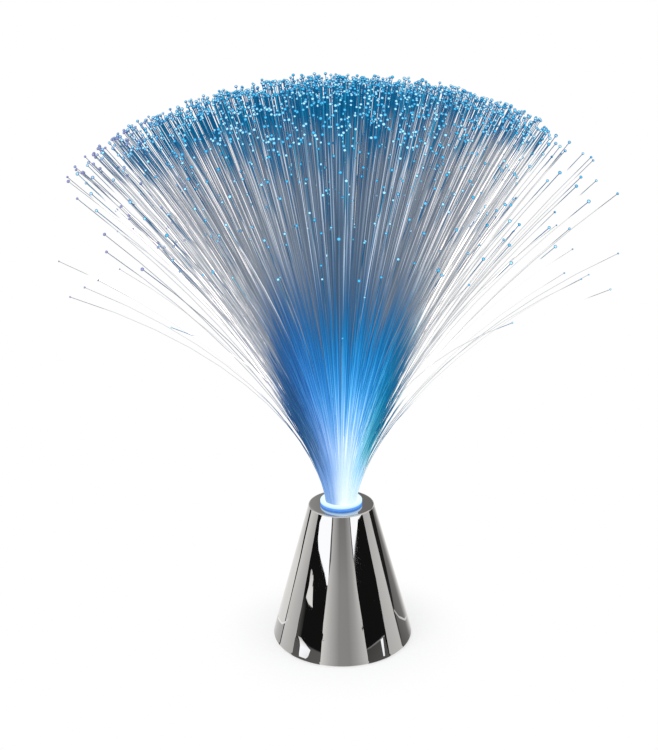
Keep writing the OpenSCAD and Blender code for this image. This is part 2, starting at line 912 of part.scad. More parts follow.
// Stations along strand i, each as [distance from the axis, height]
function strand_line(i) = [
    for (
        k = 0, at = [strand_foot(i), bundle_top];
        k <= stations;
        at = at + strand_reach(i) / stations
            * [sin(lean_at(i, (k + 0.5) / stations)), cos(lean_at(i, (k + 0.5) / stations))],
        k = k + 1
    ) at
];

// Three-sided strand that curves outwards in its own upright plane
module strand(i) {
    rings = is_stray(i) ? stray_rings : field_rings;
    last = len(rings) - 1;
    line = strand_line(i);
    turn = strand_turn(i);
    out = [cos(turn), sin(turn), 0];
    across = [-sin(turn), cos(turn), 0];
    points = [
        for (k = rings)
            let (lean = lean_at(i, k / stations), sink = k == 0 ? strand_root : 0)
                for (s = [0:strand_sides - 1])
                    let (a = 360 * s / strand_sides)
                        line[k][0] * out + [0, 0, line[k][1] - sink]
                            + strand_d / 2 * (cos(a) * (cos(lean) * out - [0, 0, sin(lean)])
                            + sin(a) * across)
    ];
    walls = [
        for (k = [0:last - 1], s = [0:strand_sides - 1])
            let (a = k * strand_sides + s, b = k * strand_sides + (s + 1) % strand_sides)
                each [[a, a + strand_sides, b], [b, a + strand_sides, b + strand_sides]]
    ];
    foot = [[for (s = [0:strand_sides - 1]) s]];
    tip = [[for (s = [strand_sides - 1:-1:0]) last * strand_sides + s]];
    polyhedron(points, concat(foot, walls, tip));
}

// Bonded bundle, polished flat underneath, with every strand growing out of its top
module fibre_spray() {
    color([0.3, 0.6, 0.95]) {
        translate([0, 0, sleeve_low])
            cylinder(r = bundle_r, h = bundle_top - sleeve_low);
        for (i = [0:strand_count - 1])
            strand(i);
    }
}

base_shell();
base_plate();
battery_door();
plate_screws();
battery(1);  // battery_1
battery(2);  // battery_2
battery(3);  // battery_3
contact_plus();
contact_minus();
contact_bridge_front();
contact_bridge_back();
contact_springs();
switch_body();
switch_knob();
led_board();
led(led_angles[0], [0.9, 0.3, 0.25]);  // led_red
led(led_angles[1], [0.3, 0.85, 0.4]);  // led_green
led(led_angles[2], [0.25, 0.45, 0.95]);  // led_blue
resistors();
light_cup();
board_screws();
wire_plus();
wire_switched();
wire_minus();
collar();
fibre_spray();
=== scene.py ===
"""Looks of a fibre optic lamp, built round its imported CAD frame.

A chrome cone stands on a pale floor. A frosted collar glows in its top, and nearly 2,800
light-carrying strands grow out of the collar and open into a spray with glowing tips.
Everything is in metres, in the frame's own axes: +Z up, the photograph's side towards -Y.
"""

import logging
import math
from dataclasses import dataclass
from enum import Enum

import bmesh
import bpy
from mathutils import Matrix, Vector


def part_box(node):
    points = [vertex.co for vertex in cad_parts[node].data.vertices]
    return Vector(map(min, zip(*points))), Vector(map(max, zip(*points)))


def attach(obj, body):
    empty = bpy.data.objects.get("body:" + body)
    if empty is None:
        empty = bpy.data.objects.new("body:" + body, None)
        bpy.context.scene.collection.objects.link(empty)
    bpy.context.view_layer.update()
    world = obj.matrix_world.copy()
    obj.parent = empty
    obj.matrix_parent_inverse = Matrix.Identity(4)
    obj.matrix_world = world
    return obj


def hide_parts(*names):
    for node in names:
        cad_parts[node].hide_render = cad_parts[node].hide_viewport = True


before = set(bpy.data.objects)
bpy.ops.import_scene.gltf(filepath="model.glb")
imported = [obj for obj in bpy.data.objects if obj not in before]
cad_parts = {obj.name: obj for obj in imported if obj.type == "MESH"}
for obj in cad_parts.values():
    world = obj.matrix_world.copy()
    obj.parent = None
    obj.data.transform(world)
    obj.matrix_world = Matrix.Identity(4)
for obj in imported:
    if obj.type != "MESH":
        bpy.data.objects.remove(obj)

MM = 0.001
GOLDEN_TURN = 137.50776
LOG = logging.getLogger("lamp")

Colour = tuple[float, float, float]
Stops = tuple[tuple[float, Colour], ...]
Sizes = dict[str, float | int | bool]
Material = bpy.types.Material
Piece = bpy.types.Object
Socket = bpy.types.NodeSocket
Term = Socket | float | Colour


class Body(Enum):
    """Bodies of the frame that pieces ride on."""

    BASE = "base"
    FIBRE_UNIT = "fibre_unit"


class Along(Enum):
    """Axes that a pattern can run along, as the number of a vector's component."""

    X = 0
    Y = 1
    Z = 2


# ---------- node trees ----------


class Graph:
    """Adds nodes to a shader or geometry tree and joins their sockets."""

    def __init__(self, tree: bpy.types.NodeTree) -> None:
        """Starts on the tree that gets the nodes."""
        self.tree = tree

    @staticmethod
    def socket(sockets: object, key: str | int) -> Socket:
        """Finds a socket by number, or the enabled one by name.

        Args:
            sockets: a node's inputs or outputs.
            key: the socket's number or name.

        Returns:
            The socket.
        """
        if isinstance(key, int):
            return sockets[key]
        return next(s for s in sockets if s.name == key and s.enabled)

    def feed(self, node: bpy.types.Node, key: str | int, value: Term) -> None:
        """Sets one input of a node.

        Args:
            node: the node.
            key: the input's name or number.
            value: a socket to link, or a plain value.
        """
        socket = self.socket(node.inputs, key)
        if isinstance(value, Socket):
            self.tree.links.new(value, socket)
        else:
            socket.default_value = value

    def add(self, kind: str, inputs: dict | None = None, **settings: object) -> bpy.types.Node:
        """Adds a node with its settings and inputs.

        Args:
            kind: Blender's name of the node type.
            inputs: values or sockets by the input's name or number.
            **settings: the node's own properties.

        Returns:
            The node.
        """
        node = self.tree.nodes.new(kind)
        for name, value in settings.items():
            setattr(node, name, value)
        for key, value in (inputs or {}).items():
            self.feed(node, key, value)
        return node

    def value(self, kind: str, inputs: dict | None = None, output: str | int = 0,
              **settings: object) -> Socket:
        """Adds a node as add() does and gives the output with this name or number."""
        return self.socket(self.add(kind, inputs, **settings).outputs, output)

    def math(self, operation: str, *terms: Term, clamp: bool = False) -> Socket:
        """Adds a Math node and gives its result, held between 0 and 1 where clamp is set."""
        return self.value("ShaderNodeMath", dict(enumerate(terms)), operation=operation,
                          use_clamp=clamp)

    def times(self, *terms: Term) -> Socket:
        """Multiplies numbers.

        Args:
            *terms: two or more sockets or numbers, taken from the first on.

        Returns:
            The product.
        """
        product = terms[0]
        for term in terms[1:]:
            product = self.math("MULTIPLY", product, term)
        return product

    def length(self, x: Term, y: Term) -> Socket:
        """Gives the length of a flat vector."""
        return self.math("SQRT", self.math("MULTIPLY_ADD", x, x, self.times(y, y)))

    def polar(self, radius: Term, angle: Term) -> tuple[Socket, Socket]:
        """Gives X and Y of a point from its distance and its angle in radians."""
        return (self.times(radius, self.math("COSINE", angle)),
                self.times(radius, self.math("SINE", angle)))

    def ramp(self, value: Term, low: Term, high: Term, start: Term = 0.0,
             end: Term = 1.0) -> Socket:
        """Maps a value smoothly from low and high to start and end, held at both ends."""
        terms = dict(enumerate((value, low, high, start, end)))
        return self.value("ShaderNodeMapRange", terms, interpolation_type="SMOOTHSTEP")

    def join_xyz(self, x: Term, y: Term, z: Term) -> Socket:
        """Joins three numbers to a vector."""
        return self.value("ShaderNodeCombineXYZ", {0: x, 1: y, 2: z})

    def split_xyz(self, vector: Socket) -> list[Socket]:
        """Splits a vector into its three numbers."""
        return list(self.add("ShaderNodeSeparateXYZ", {0: vector}).outputs)

    def attribute(self, name: str, output: str = "Fac") -> Socket:
        """Reads one of the mesh's own attributes, as the Attribute node's named output."""
        return self.value("ShaderNodeAttribute", None, output, attribute_name=name)

    def coords(self, stretch: tuple[float, float, float] = (1, 1, 1)) -> Socket:
        """Gives Object coordinates, which are the frame's own metres.

        Args:
            stretch: scale of the pattern along X, Y and Z.

        Returns:
            The coordinates.
        """
        place = self.value("ShaderNodeTexCoord", None, "Object")
        if stretch == (1, 1, 1):
            return place
        return self.value("ShaderNodeMapping", {"Vector": place, "Scale": stretch})

    def place(self, axis: Along) -> Socket:
        """Gives one of the Object coordinates."""
        return self.split_xyz(self.coords())[axis.value]

    def radius(self) -> Socket:
        """Gives the distance from the upright axis through the origin."""
        return self.length(*self.split_xyz(self.coords())[:2])

    def noise(self, scale: float, detail: float = 3.0,
              stretch: tuple[float, float, float] = (1, 1, 1)) -> Socket:
        """Gives a noise of about 0.3 to 0.7: scale waves in a metre, in detail layers."""
        return self.value("ShaderNodeTexNoise", {"Vector": self.coords(stretch),
                                                 "Scale": scale, "Detail": detail})

    def grain(self, scale: float, detail: float, start: float = 0.0, end: float = 1.0,
              low: float = 0.3, high: float = 0.7) -> Socket:
        """Spreads a noise over the range from start, where it is low, to end, where it is high."""
        return self.ramp(self.noise(scale, detail), low, high, start, end)

    def blend(self, share: Term, first: Term, second: Term, blend_type: str = "MIX") -> Socket:
        """Mixes two colours.

        Args:
            share: how much of the second.
            first: socket or colour.
            second: socket or colour.
            blend_type: the Mix node's blend type.

        Returns:
            The mixed colour.
        """
        node = self.add("ShaderNodeMix", {"Factor": share}, data_type="RGBA", blend_type=blend_type)
        for key, term in (("A", first), ("B", second)):
            self.feed(node, key, term if isinstance(term, Socket) else (*term, 1.0))
        return self.socket(node.outputs, "Result")

    def tint(self, share: Term, colour: Term, filter_colour: Term) -> Socket:
        """Multiplies a colour by another one, as far as the share says."""
        return self.blend(share, colour, self.blend(1.0, colour, filter_colour, "MULTIPLY"))

    def colour_ramp(self, value: Socket, stops: Stops) -> Socket:
        """Turns a value from 0 to 1 into a colour.

        Args:
            value: the socket to read.
            stops: places from 0 to 1, each with its colour.

        Returns:
            The colour.
        """
        node = self.add("ShaderNodeValToRGB", {0: value})
        elements = node.color_ramp.elements
        while len(elements) < len(stops):
            elements.new(0.5)
        for element, (place, colour) in zip(elements, stops):
            element.position = place
            element.color = (*colour, 1.0)
        return node.outputs[0]

    def cells(self, scale: float, unevenness: float = 1.0, **settings: object) -> Socket:
        """Gives the distance from the middles of a flat pattern, with scale cells in a metre."""
        inputs = {"Vector": self.coords((1, 1, 0)), "Scale": scale, "Randomness": unevenness}
        return self.value("ShaderNodeTexVoronoi", inputs, "Distance", **settings)

    def bump(self, height: Socket, distance: float) -> Socket:
        """Turns a height from 0 to 1 into a normal; the distance is what 1 stands for."""
        return self.value("ShaderNodeBump",
                          {"Height": height, "Distance": distance, "Strength": 1.0})


class Shader(Graph):
    """A new material with one Principled shader."""

    def __init__(self, name: str, **sockets: Term) -> None:
        """Makes the material.

        Args:
            name: the material's name.
            **sockets: first values for the shader's sockets, as set() takes them.
        """
        self.material = bpy.data.materials.new(name)
        self.material.use_nodes = True
        super().__init__(self.material.node_tree)
        self.shader = next(n for n in self.tree.nodes if n.type == "BSDF_PRINCIPLED")
        self.set(**sockets)

    def set(self, **sockets: Term) -> Material:
        """Sets sockets of the shader.

        Args:
            **sockets: for each, a socket to link, a number or a colour; _ stands for a space.

        Returns:
            The material.
        """
        for key, value in sockets.items():
            if isinstance(value, tuple):
                value = (*value, 1.0)
            self.feed(self.shader, key.replace("_", " "), value)
        return self.material


def lighter(colour: Colour, gain: float, lift: float) -> Colour:
    """Gives a lighter colour: each part times the gain, plus the lift, and 1 at most."""
    return tuple(min(1.0, part * gain + lift) for part in colour)


# ---------- finishes ----------


@dataclass(frozen=True)
class Chrome:
    """Bright plating on moulded plastic, with the faint waves and hand marks that it has."""

    colour: Colour = (0.56, 0.555, 0.55)
    smooth: float = 0.015
    smudged: float = 0.05
    wave_depth: float = 0.006 * MM

    def material(self) -> Material:
        """Builds the material.

        Returns:
            The material.
        """
        m = Shader("chrome", Metallic=1.0, Base_Color=self.colour)
        smudge = m.ramp(m.noise(55, 5, (1, 1, 0.35)), 0.48, 0.72)
        waves = m.noise(240, 1, (1, 1, 0.25))
        return m.set(Roughness=m.ramp(smudge, 0, 1, self.smooth, self.smudged),
                     Normal=m.bump(waves, self.wave_depth))


@dataclass(frozen=True)
class MouldedPlastic:
    """Moulded plastic with a fine spark-eroded grain and slightly rubbed high spots."""

    name: str
    colour: Colour
    rough: float = 0.45
    grain: float = 3200.0
    grain_depth: float = 0.02 * MM

    def material(self) -> Material:
        """Builds the material.

        Returns:
            The material.
        """
        m = Shader(self.name, IOR=1.5)
        rubbed = lighter(self.colour, 1.25, 0.008)
        return m.set(
            Base_Color=m.blend(m.grain(90, 4, low=0.35, high=0.65), self.colour, rubbed),
            Roughness=m.grain(500, 3, self.rough - 0.08, self.rough + 0.1),
            Normal=m.bump(m.noise(self.grain, 2), self.grain_depth))


@dataclass(frozen=True)
class PlatedMetal:
    """Plated or rolled metal with fine lines along one way and dull patches."""

    name: str
    colour: Colour
    tarnish: Colour
    rough: float = 0.28
    stretch: tuple[float, float, float] = (1, 1, 0.08)
    line_depth: float = 0.006 * MM

    def material(self) -> Material:
        """Builds the material.

        Returns:
            The material.
        """
        m = Shader(self.name, Metallic=1.0)
        patch = m.grain(260, 4, low=0.45, high=0.75)
        lines = m.noise(5200, 2, self.stretch)
        return m.set(Base_Color=m.blend(patch, self.colour, self.tarnish),
                     Roughness=m.ramp(lines, 0.3, 0.7, self.rough - 0.08, self.rough + 0.12),
                     Normal=m.bump(lines, self.line_depth))


@dataclass(frozen=True)
class CellJacket:
    """Shrink sleeve of a dry cell: dark with a copper band, bare metal at both ends.

    Places along the cell run from 0 at the flat end to 1 at the button.
    """

    name: str
    middle: float
    length: float
    towards: float
    band_from: float = 0.74
    bare_from: float = 0.962
    bare_to: float = 0.012
    edge: float = 0.004
    sleeve: Colour = (0.018, 0.045, 0.03)
    worn: Colour = (0.03, 0.07, 0.05)
    band: Colour = (0.55, 0.24, 0.08)
    metal: Colour = (0.72, 0.71, 0.68)

    def material(self) -> Material:
        """Builds the material; the cell lies along Y.

        Returns:
            The material.
        """
        m = Shader(self.name)
        from_middle = m.math("SUBTRACT", m.place(Along.Y), self.middle)
        place = m.math("ADD", m.times(from_middle, self.towards / self.length), 0.5)
        in_band = m.ramp(place, self.band_from - self.edge, self.band_from)
        bare = m.math("MAXIMUM", m.ramp(place, self.bare_from, self.bare_from + self.edge),
                      m.ramp(place, self.bare_to, self.bare_to - self.edge))
        sleeve = m.blend(m.grain(700, 3, 0, 0.35), self.sleeve, self.worn)
        return m.set(Base_Color=m.blend(bare, m.blend(in_band, sleeve, self.band), self.metal),
                     Metallic=m.math("MAXIMUM", bare, m.times(in_band, 0.75)),
                     Roughness=m.grain(400, 3, 0.22, 0.36),
                     Normal=m.bump(m.noise(900, 2, (1, 0.15, 1)), 0.01 * MM))


@dataclass(frozen=True)
class BoardLacquer:
    """Green lacquer over copper tracks on a circuit board, with bare board on its rim."""

    lacquer: Colour = (0.012, 0.12, 0.035)
    over_track: Colour = (0.03, 0.24, 0.075)
    rim: Colour = (0.42, 0.36, 0.2)
    weave: Colour = (0.3, 0.27, 0.15)
    track_scale: float = 210.0
    track_depth: float = 0.03 * MM

    def material(self) -> Material:
        """Builds the material.

        Returns:
            The material.
        """
        m = Shader("board", IOR=1.5)
        cell = m.cells(self.track_scale, feature="F1", distance="MANHATTAN")
        track = m.times(m.ramp(cell, 0.42, 0.45), m.ramp(cell, 0.72, 0.69))
        normal = m.split_xyz(m.value("ShaderNodeNewGeometry", None, "Normal"))[Along.Z.value]
        flat = m.ramp(m.math("ABSOLUTE", normal), 0.5, 0.7)
        face = m.blend(track, self.lacquer, self.over_track)
        edge = m.blend(m.grain(2600, 2, 0, 0.5, 0.4, 0.6), self.rim, self.weave)
        return m.set(Base_Color=m.blend(flat, edge, face),
                     Roughness=m.grain(600, 2, 0.22, 0.4),
                     Normal=m.bump(track, self.track_depth))


@dataclass(frozen=True)
class LampLens:
    """Tinted epoxy lens of a small lamp, lit from inside, on legs of tinned metal."""

    name: str
    tint: Colour
    glow: Colour
    low: float
    high: float
    tin: Colour = (0.72, 0.71, 0.69)

    def material(self) -> Material:
        """Builds the material.

        Returns:
            The material.
        """
        m = Shader(self.name, IOR=1.53, Coat_Weight=0.6, Emission_Strength=1.0)
        z = m.place(Along.Z)
        lens = m.ramp(z, self.low - 0.02 * MM, self.low + 0.02 * MM)
        heart = m.ramp(z, self.low, self.high, 0.35, 1.0)
        haze = m.grain(500, 3, 0.85, 1.0)
        return m.set(
            Base_Color=m.blend(lens, self.tin, self.tint),
            Metallic=m.math("SUBTRACT", 1.0, lens),
            Roughness=m.grain(1500, 2, 0.08, 0.2),
            Emission_Color=m.blend(m.times(heart, haze, lens), (0.0, 0.0, 0.0), self.glow))


@dataclass(frozen=True)
class ChipResistor:
    """Black chip with tinned ends, which lie along Y."""

    middle: float
    half: float
    cap: float = 0.5 * MM
    tin: Colour = (0.7, 0.69, 0.67)

    def material(self) -> Material:
        """Builds the material.

        Returns:
            The material.
        """
        m = Shader("resistor_body")
        reach = m.math("ABSOLUTE", m.math("SUBTRACT", m.place(Along.Y), self.middle))
        tinned = m.ramp(reach, self.half - self.cap, self.half - self.cap + 0.03 * MM)
        ceramic = m.blend(m.grain(3000, 2), (0.012, 0.012, 0.014), (0.03, 0.03, 0.034))
        return m.set(Base_Color=m.blend(tinned, ceramic, self.tin), Metallic=tinned,
                     Roughness=m.grain(1800, 2, 0.25, 0.45),
                     Normal=m.bump(m.noise(2500, 2), 0.01 * MM))


@dataclass(frozen=True)
class WireSkin:
    """Soft plastic skin of a hook-up wire, with tinned copper at both ends."""

    name: str
    colour: Colour
    bare: float = 0.035
    edge: float = 0.003
    copper: Colour = (0.7, 0.66, 0.6)

    def material(self) -> Material:
        """Builds the material; it reads how far along the wire a point is.

        Returns:
            The material.
        """
        m = Shader(self.name, IOR=1.5, Sheen_Weight=0.05)
        along = m.attribute("along")
        tinned = m.math("MAXIMUM", m.ramp(along, self.bare, self.bare - self.edge),
                        m.ramp(along, 1 - self.bare, 1 - self.bare + self.edge))
        skin = m.blend(m.grain(420, 3), self.colour, lighter(self.colour, 1.3, 0.01))
        return m.set(Base_Color=m.blend(tinned, skin, self.copper), Metallic=tinned,
                     Roughness=m.grain(900, 2, 0.3, 0.48),
                     Normal=m.bump(m.noise(1300, 2), 0.012 * MM))


@dataclass(frozen=True)
class FrostedGlow:
    """Frosted plastic that carries the bundle's light to its rim.

    It is brightest at the bore, bluer at the rim and darker down the sleeve.
    """

    core_r: float
    rim_r: float
    top: float
    core: Colour = (0.92, 0.97, 1.0)
    rim: Colour = (0.68, 0.86, 1.0)
    side: Colour = (0.55, 0.78, 1.0)
    deep: Colour = (0.02, 0.24, 0.85)
    sleeve: Colour = (0.16, 0.44, 0.88)
    cloud: Colour = (0.72, 0.80, 0.90)

    def material(self) -> Material:
        """Builds the material.

        Returns:
            The material.
        """
        m = Shader("collar_frosted", IOR=1.49, Base_Color=(0.12, 0.16, 0.2),
                   Emission_Strength=1.0)
        z = m.place(Along.Z)

        def below(near: float, far: float) -> Socket:
            """Gives how far a point is down from one depth to another, in mm from the top."""
            return m.ramp(z, self.top - near * MM, self.top - far * MM)

        outwards = m.math("ADD", m.ramp(m.radius(), self.core_r, self.rim_r),
                          m.grain(900, 4, 0.0, 0.25), clamp=True)
        lit = m.blend(below(0.2, 0.9), m.blend(outwards, self.core, self.rim), self.side)
        sleeve = m.blend(m.grain(260, 5, low=0.35), m.blend(below(3.5, 12), self.deep, self.sleeve),
                         self.cloud, "MULTIPLY")
        return m.set(Emission_Color=m.blend(below(1.15, 1.8), lit, sleeve),
                     Roughness=m.grain(1600, 3, 0.38, 0.6),
                     Normal=m.bump(m.noise(2600, 3), 0.02 * MM))


@dataclass(frozen=True)
class StrandGlow:
    """Clear strand that leaks light: white at its foot, then blue, painted grey and a blue tip.

    The blue reaches less far up the strands that lean out sideways. The three lamps under the
    bundle tint its two sides differently. Each strand's own tone makes it duller or livelier.
    The grey past the blue is painted light: a glow in place of the studio light on the clear
    strand, darker in the dense middle, lighter at the sides and on the right, with painted
    sheen streaks on the strands of highest tone.
    """

    reach: float = 128 * MM
    reach_lost: float = 66 * MM
    strength: float = 0.8
    inner: Colour = (0.100, 0.160, 0.243)
    middle: Colour = (0.24, 0.275, 0.325)
    outer: Colour = (0.56, 0.58, 0.61)
    tip: Colour = (0.002, 0.118, 0.262)
    outer_tip: Colour = (0.20, 0.22, 0.27)
    leaking: Stops = (
        (0.0, (0.66, 0.80, 0.98)), (0.09, (0.56, 0.74, 0.96)), (0.17, (0.50, 0.70, 0.94)),
        (0.25, (0.48, 0.69, 0.95)), (0.34, (0.28, 0.57, 0.90)), (0.44, (0.09, 0.42, 0.80)),
        (0.55, (0.020, 0.28, 0.65)), (0.66, (0.010, 0.18, 0.45)), (0.80, (0.012, 0.12, 0.29)))
    clear_tones_and_sheen: Stops = (
        (0.0, (0.5, 0.53, 0.58)), (0.45, (0.85, 0.85, 0.86)), (0.78, (1.2, 1.18, 1.16)),
        (0.86, (2.6, 2.4, 2.2)), (1.0, (4.2, 3.5, 3.0)))
    lit_tones: Stops = ((0.0, (0.6, 0.72, 0.8)), (0.6, (1.0, 1.0, 1.0)), (1.0, (1.9, 1.4, 1.2)))
    tip_tones: Stops = ((0.0, (0.5, 0.6, 0.7)), (0.8, (1.0, 1.0, 1.0)), (0.94, (3.0, 1.5, 1.35)),
                        (1.0, (16.0, 3.2, 2.2)))
    right_clear: Colour = (1.35, 1.3, 1.22)
    core: Colour = (1.2, 1.1, 1.03)
    low_left: Colour = (0.70, 0.82, 0.93)
    left: Colour = (0.42, 0.60, 0.82)
    left_blue: Colour = (0.085, 0.15, 0.34)
    right: Colour = (0.30, 0.95, 0.93)
    at_edge: Colour = (0.7, 0.6, 0.5)

    def clear(self, m: Graph, tone: Socket, across: Socket, out: Socket) -> Socket:
        """Gives the colour past the blue stretch: painted light in place of the studio light on the
        clear strand, darker in the dense middle, lighter at the sides and on the right, with
        painted sheen streaks where the tone is highest.

        Args:
            m: the material's tree.
            tone: the strand's own tone.
            across: how far it leans to the right.
            out: how far it leans to either side.

        Returns:
            The colour.
        """
        # painted light: grey glow, darker in the dense middle and lighter towards the sides
        clear = m.colour_ramp(out, ((0.02, self.inner), (0.32, self.middle), (0.8, self.outer)))
        # tones above 1 paint bright sheen streaks on some strands
        clear = m.blend(1.0, clear, m.colour_ramp(tone, self.clear_tones_and_sheen), "MULTIPLY")
        # painted lighter on the right
        return m.tint(m.ramp(across, 0.3, 0.62), clear, self.right_clear)

    def lit(self, m: Graph, share: Socket, tone: Socket, clear: Socket) -> Socket:
        """Gives the leaking light along the blue stretch, with the strand's own tone.

        Args:
            m: the material's tree.
            share: how far along the blue stretch, 1 at its end.
            tone: the strand's own tone.
            clear: the colour after the blue stretch.

        Returns:
            The colour.
        """
        glow = m.colour_ramp(m.times(share, 0.8), self.leaking)
        glow = m.blend(m.ramp(share, 0.88, 1.28), glow, clear)
        lively = m.times(m.ramp(share, 0.0, 0.5), m.ramp(share, 1.1, 0.7))
        return m.tint(lively, glow, m.colour_ramp(tone, self.lit_tones))

    def sided(self, m: Graph, glow: Socket, run: Socket, share: Socket, across: Socket,
              out: Socket) -> Socket:
        """Tints the middle, the two sides and the edges of the spray.

        Args:
            m: the material's tree.
            glow: the colour so far.
            run: the distance from the strand's foot.
            share: how far along the blue stretch.
            across: how far the strand leans to the right.
            out: how far it leans to either side.

        Returns:
            The colour.
        """
        from_core = m.math("ABSOLUTE", m.math("SUBTRACT", across, 0.04))
        glow = m.tint(m.times(m.ramp(from_core, 0.42, 0.1), m.ramp(share, 0.6, 0.2)), glow,
                      self.core)
        low_left = m.times(m.ramp(across, 0.0, -0.35),
                           m.times(m.ramp(run, 8 * MM, 26 * MM), m.ramp(share, 0.9, 0.4)))
        glow = m.tint(low_left, glow, self.low_left)
        before_end = m.ramp(share, 1.2, 0.8)
        leftward = m.times(m.ramp(across, 0.15, -0.6), before_end)
        rightward = m.times(m.ramp(across, 0.2, 0.55),
                            m.times(m.ramp(run, 4 * MM, 45 * MM), before_end))
        glow = m.tint(leftward, glow, self.left)
        glow = m.blend(m.times(leftward, 0.3), glow, self.left_blue)
        glow = m.tint(rightward, glow, self.right)
        late = m.times(m.ramp(share, 0.1, 0.5), m.ramp(share, 1.1, 0.75))
        return m.tint(m.times(m.ramp(out, 0.25, 0.6), late), glow, self.at_edge)

    def material(self) -> Material:
        """Builds the material from the strand's own attributes.

        Returns:
            The material.
        """
        m = Shader("strand", IOR=1.49, Specular_IOR_Level=0.2, Emission_Strength=self.strength)
        run = m.attribute("run")
        tone = m.attribute("tone")
        across = m.split_xyz(m.attribute("spread", "Vector"))[Along.X.value]
        out = m.math("ABSOLUTE", across)
        blue = m.times(m.ramp(out, 0.30, 0.75, self.reach, self.reach - self.reach_lost),
                       m.ramp(tone, 0, 1, 0.86, 1.1))
        share = m.math("DIVIDE", run, blue)
        glow = self.lit(m, share, tone, self.clear(m, tone, across, out))
        glow = self.sided(m, glow, run, share, across, out)
        tipped = m.ramp(across, 0.0, 0.3, 24 * MM, 15 * MM)
        near_tip = m.ramp(m.math("DIVIDE", m.attribute("to_tip"), tipped), 1.0, 0.55)
        tip = m.blend(1.0, self.tip, m.colour_ramp(tone, self.tip_tones), "MULTIPLY")
        tip = m.blend(m.ramp(out, 0.5, 0.85), tip, self.outer_tip)
        glow = m.blend(near_tip, glow, tip)
        return m.set(Emission_Color=glow, Roughness=m.ramp(tone, 0, 1, 0.15, 0.35),
                     Base_Color=m.blend(1.0, glow, (0.5, 0.5, 0.5), "MULTIPLY"))


@dataclass(frozen=True)
class TipGlow:
    """Bead at a strand's cut end, where its light comes out."""

    # heart: the end's glow with a painted highlight where it faces the viewer; rim: painted edge
    # shade
    heart: Colour = (0.46, 0.93, 1.0)
    pale: Colour = (0.04, 0.55, 0.80)
    rim: Colour = (0.0, 0.04, 0.14)
    outer_heart: Colour = (0.36, 0.28, 0.45)
    outer_rim: Colour = (0.10, 0.07, 0.15)

    def material(self) -> Material:
        """Builds the material from the bead's own attributes, with a painted highlight where its
        cut end faces the viewer and painted shade at its rim.

        Returns:
            The material.
        """
        m = Shader("strand_tip", IOR=1.49, Base_Color=(0.02, 0.1, 0.25), Roughness=0.15,
                   Emission_Strength=1.0, Specular_IOR_Level=0.3)
        tone = m.attribute("tone")
        across = m.split_xyz(m.attribute("spread", "Vector"))[Along.X.value]
        leftmost = m.ramp(m.math("ADD", across, m.ramp(tone, 0, 1, -0.12, 0.12)), -0.5, -0.75)
        heart = m.blend(m.ramp(tone, 0.25, 0.75), self.pale, self.heart)
        heart = m.blend(leftmost, heart, self.outer_heart)
        rim = m.blend(leftmost, self.rim, self.outer_rim)
        # painted highlight and shade: bright heart where the cut end faces the viewer, dark rim
        # elsewhere
        facing = m.value("ShaderNodeLayerWeight", {"Blend": 0.5}, "Facing")
        lit = m.times(m.ramp(m.attribute("end"), 0.25, 0.5), m.ramp(facing, 0.40, 0.18))
        return m.set(Emission_Color=m.blend(lit, rim, heart))


@dataclass(frozen=True)
class BundleEnd:
    """Bonded bundle: polished strand ends packed side by side, one spot of light for each."""

    low: float
    high: float
    pitch: float = 0.5 * MM

    def material(self) -> Material:
        """Builds the material.

        Returns:
            The material.
        """
        m = Shader("bundle_end", IOR=1.49, Roughness=0.12, Emission_Strength=1.0)
        spot = m.ramp(m.cells(1 / self.pitch, 0.35), 0.42, 0.3)
        end = m.blend(spot, (0.03, 0.12, 0.25), (0.45, 0.75, 1.0))
        height = m.ramp(m.place(Along.Z), self.low, self.high)
        return m.set(Emission_Color=m.blend(height, end, (0.8, 0.95, 1.0)),
                     Base_Color=m.blend(spot, (0.05, 0.12, 0.2), (0.5, 0.6, 0.7)),
                     Normal=m.bump(spot, 0.01 * MM))


@dataclass(frozen=True)
class Solder:
    """Bright tin solder with slightly dull skin."""

    bright: Colour = (0.78, 0.77, 0.75)
    dulled: Colour = (0.55, 0.54, 0.52)

    def material(self) -> Material:
        """Builds the material.

        Returns:
            The material.
        """
        m = Shader("solder", Metallic=1.0)
        dull = m.grain(1500, 3, low=0.4, high=0.65)
        return m.set(Base_Color=m.blend(dull, self.bright, self.dulled),
                     Roughness=m.ramp(dull, 0, 1, 0.15, 0.4),
                     Normal=m.bump(m.noise(1200, 2), 0.02 * MM))


# ---------- shared making of meshes ----------


def link(name: str, data: bpy.types.ID) -> Piece:
    """Puts a mesh, a camera or a light into the scene as an object at the origin.

    Args:
        name: the object's name.
        data: its mesh, camera or light.

    Returns:
        The object.
    """
    piece = bpy.data.objects.new(name, data)
    bpy.context.scene.collection.objects.link(piece)
    return piece


def dress(material: Material, *nodes: str) -> None:
    """Gives the objects of CAD nodes a material on each of their slots.

    Args:
        material: the material.
        *nodes: the nodes' names.
    """
    for node in nodes:
        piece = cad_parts[node]
        if not piece.material_slots:
            piece.data.materials.append(material)
        for place in piece.material_slots:
            place.material = material
        LOG.info("dressed %s with %s", node, material.name)


def settle(piece: Piece, body: Body, slot: str, *replaced: str) -> None:
    """Makes a piece ride on a body and hides the nodes that it stands for.

    Args:
        piece: the finished piece.
        body: the body that it moves with.
        slot: not used.
        *replaced: CAD nodes that the piece stands for.
    """
    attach(piece, body.value)
    if replaced:
        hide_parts(*replaced)
    LOG.info("%s: %d faces on %s", piece.name, len(piece.data.polygons), body.value)


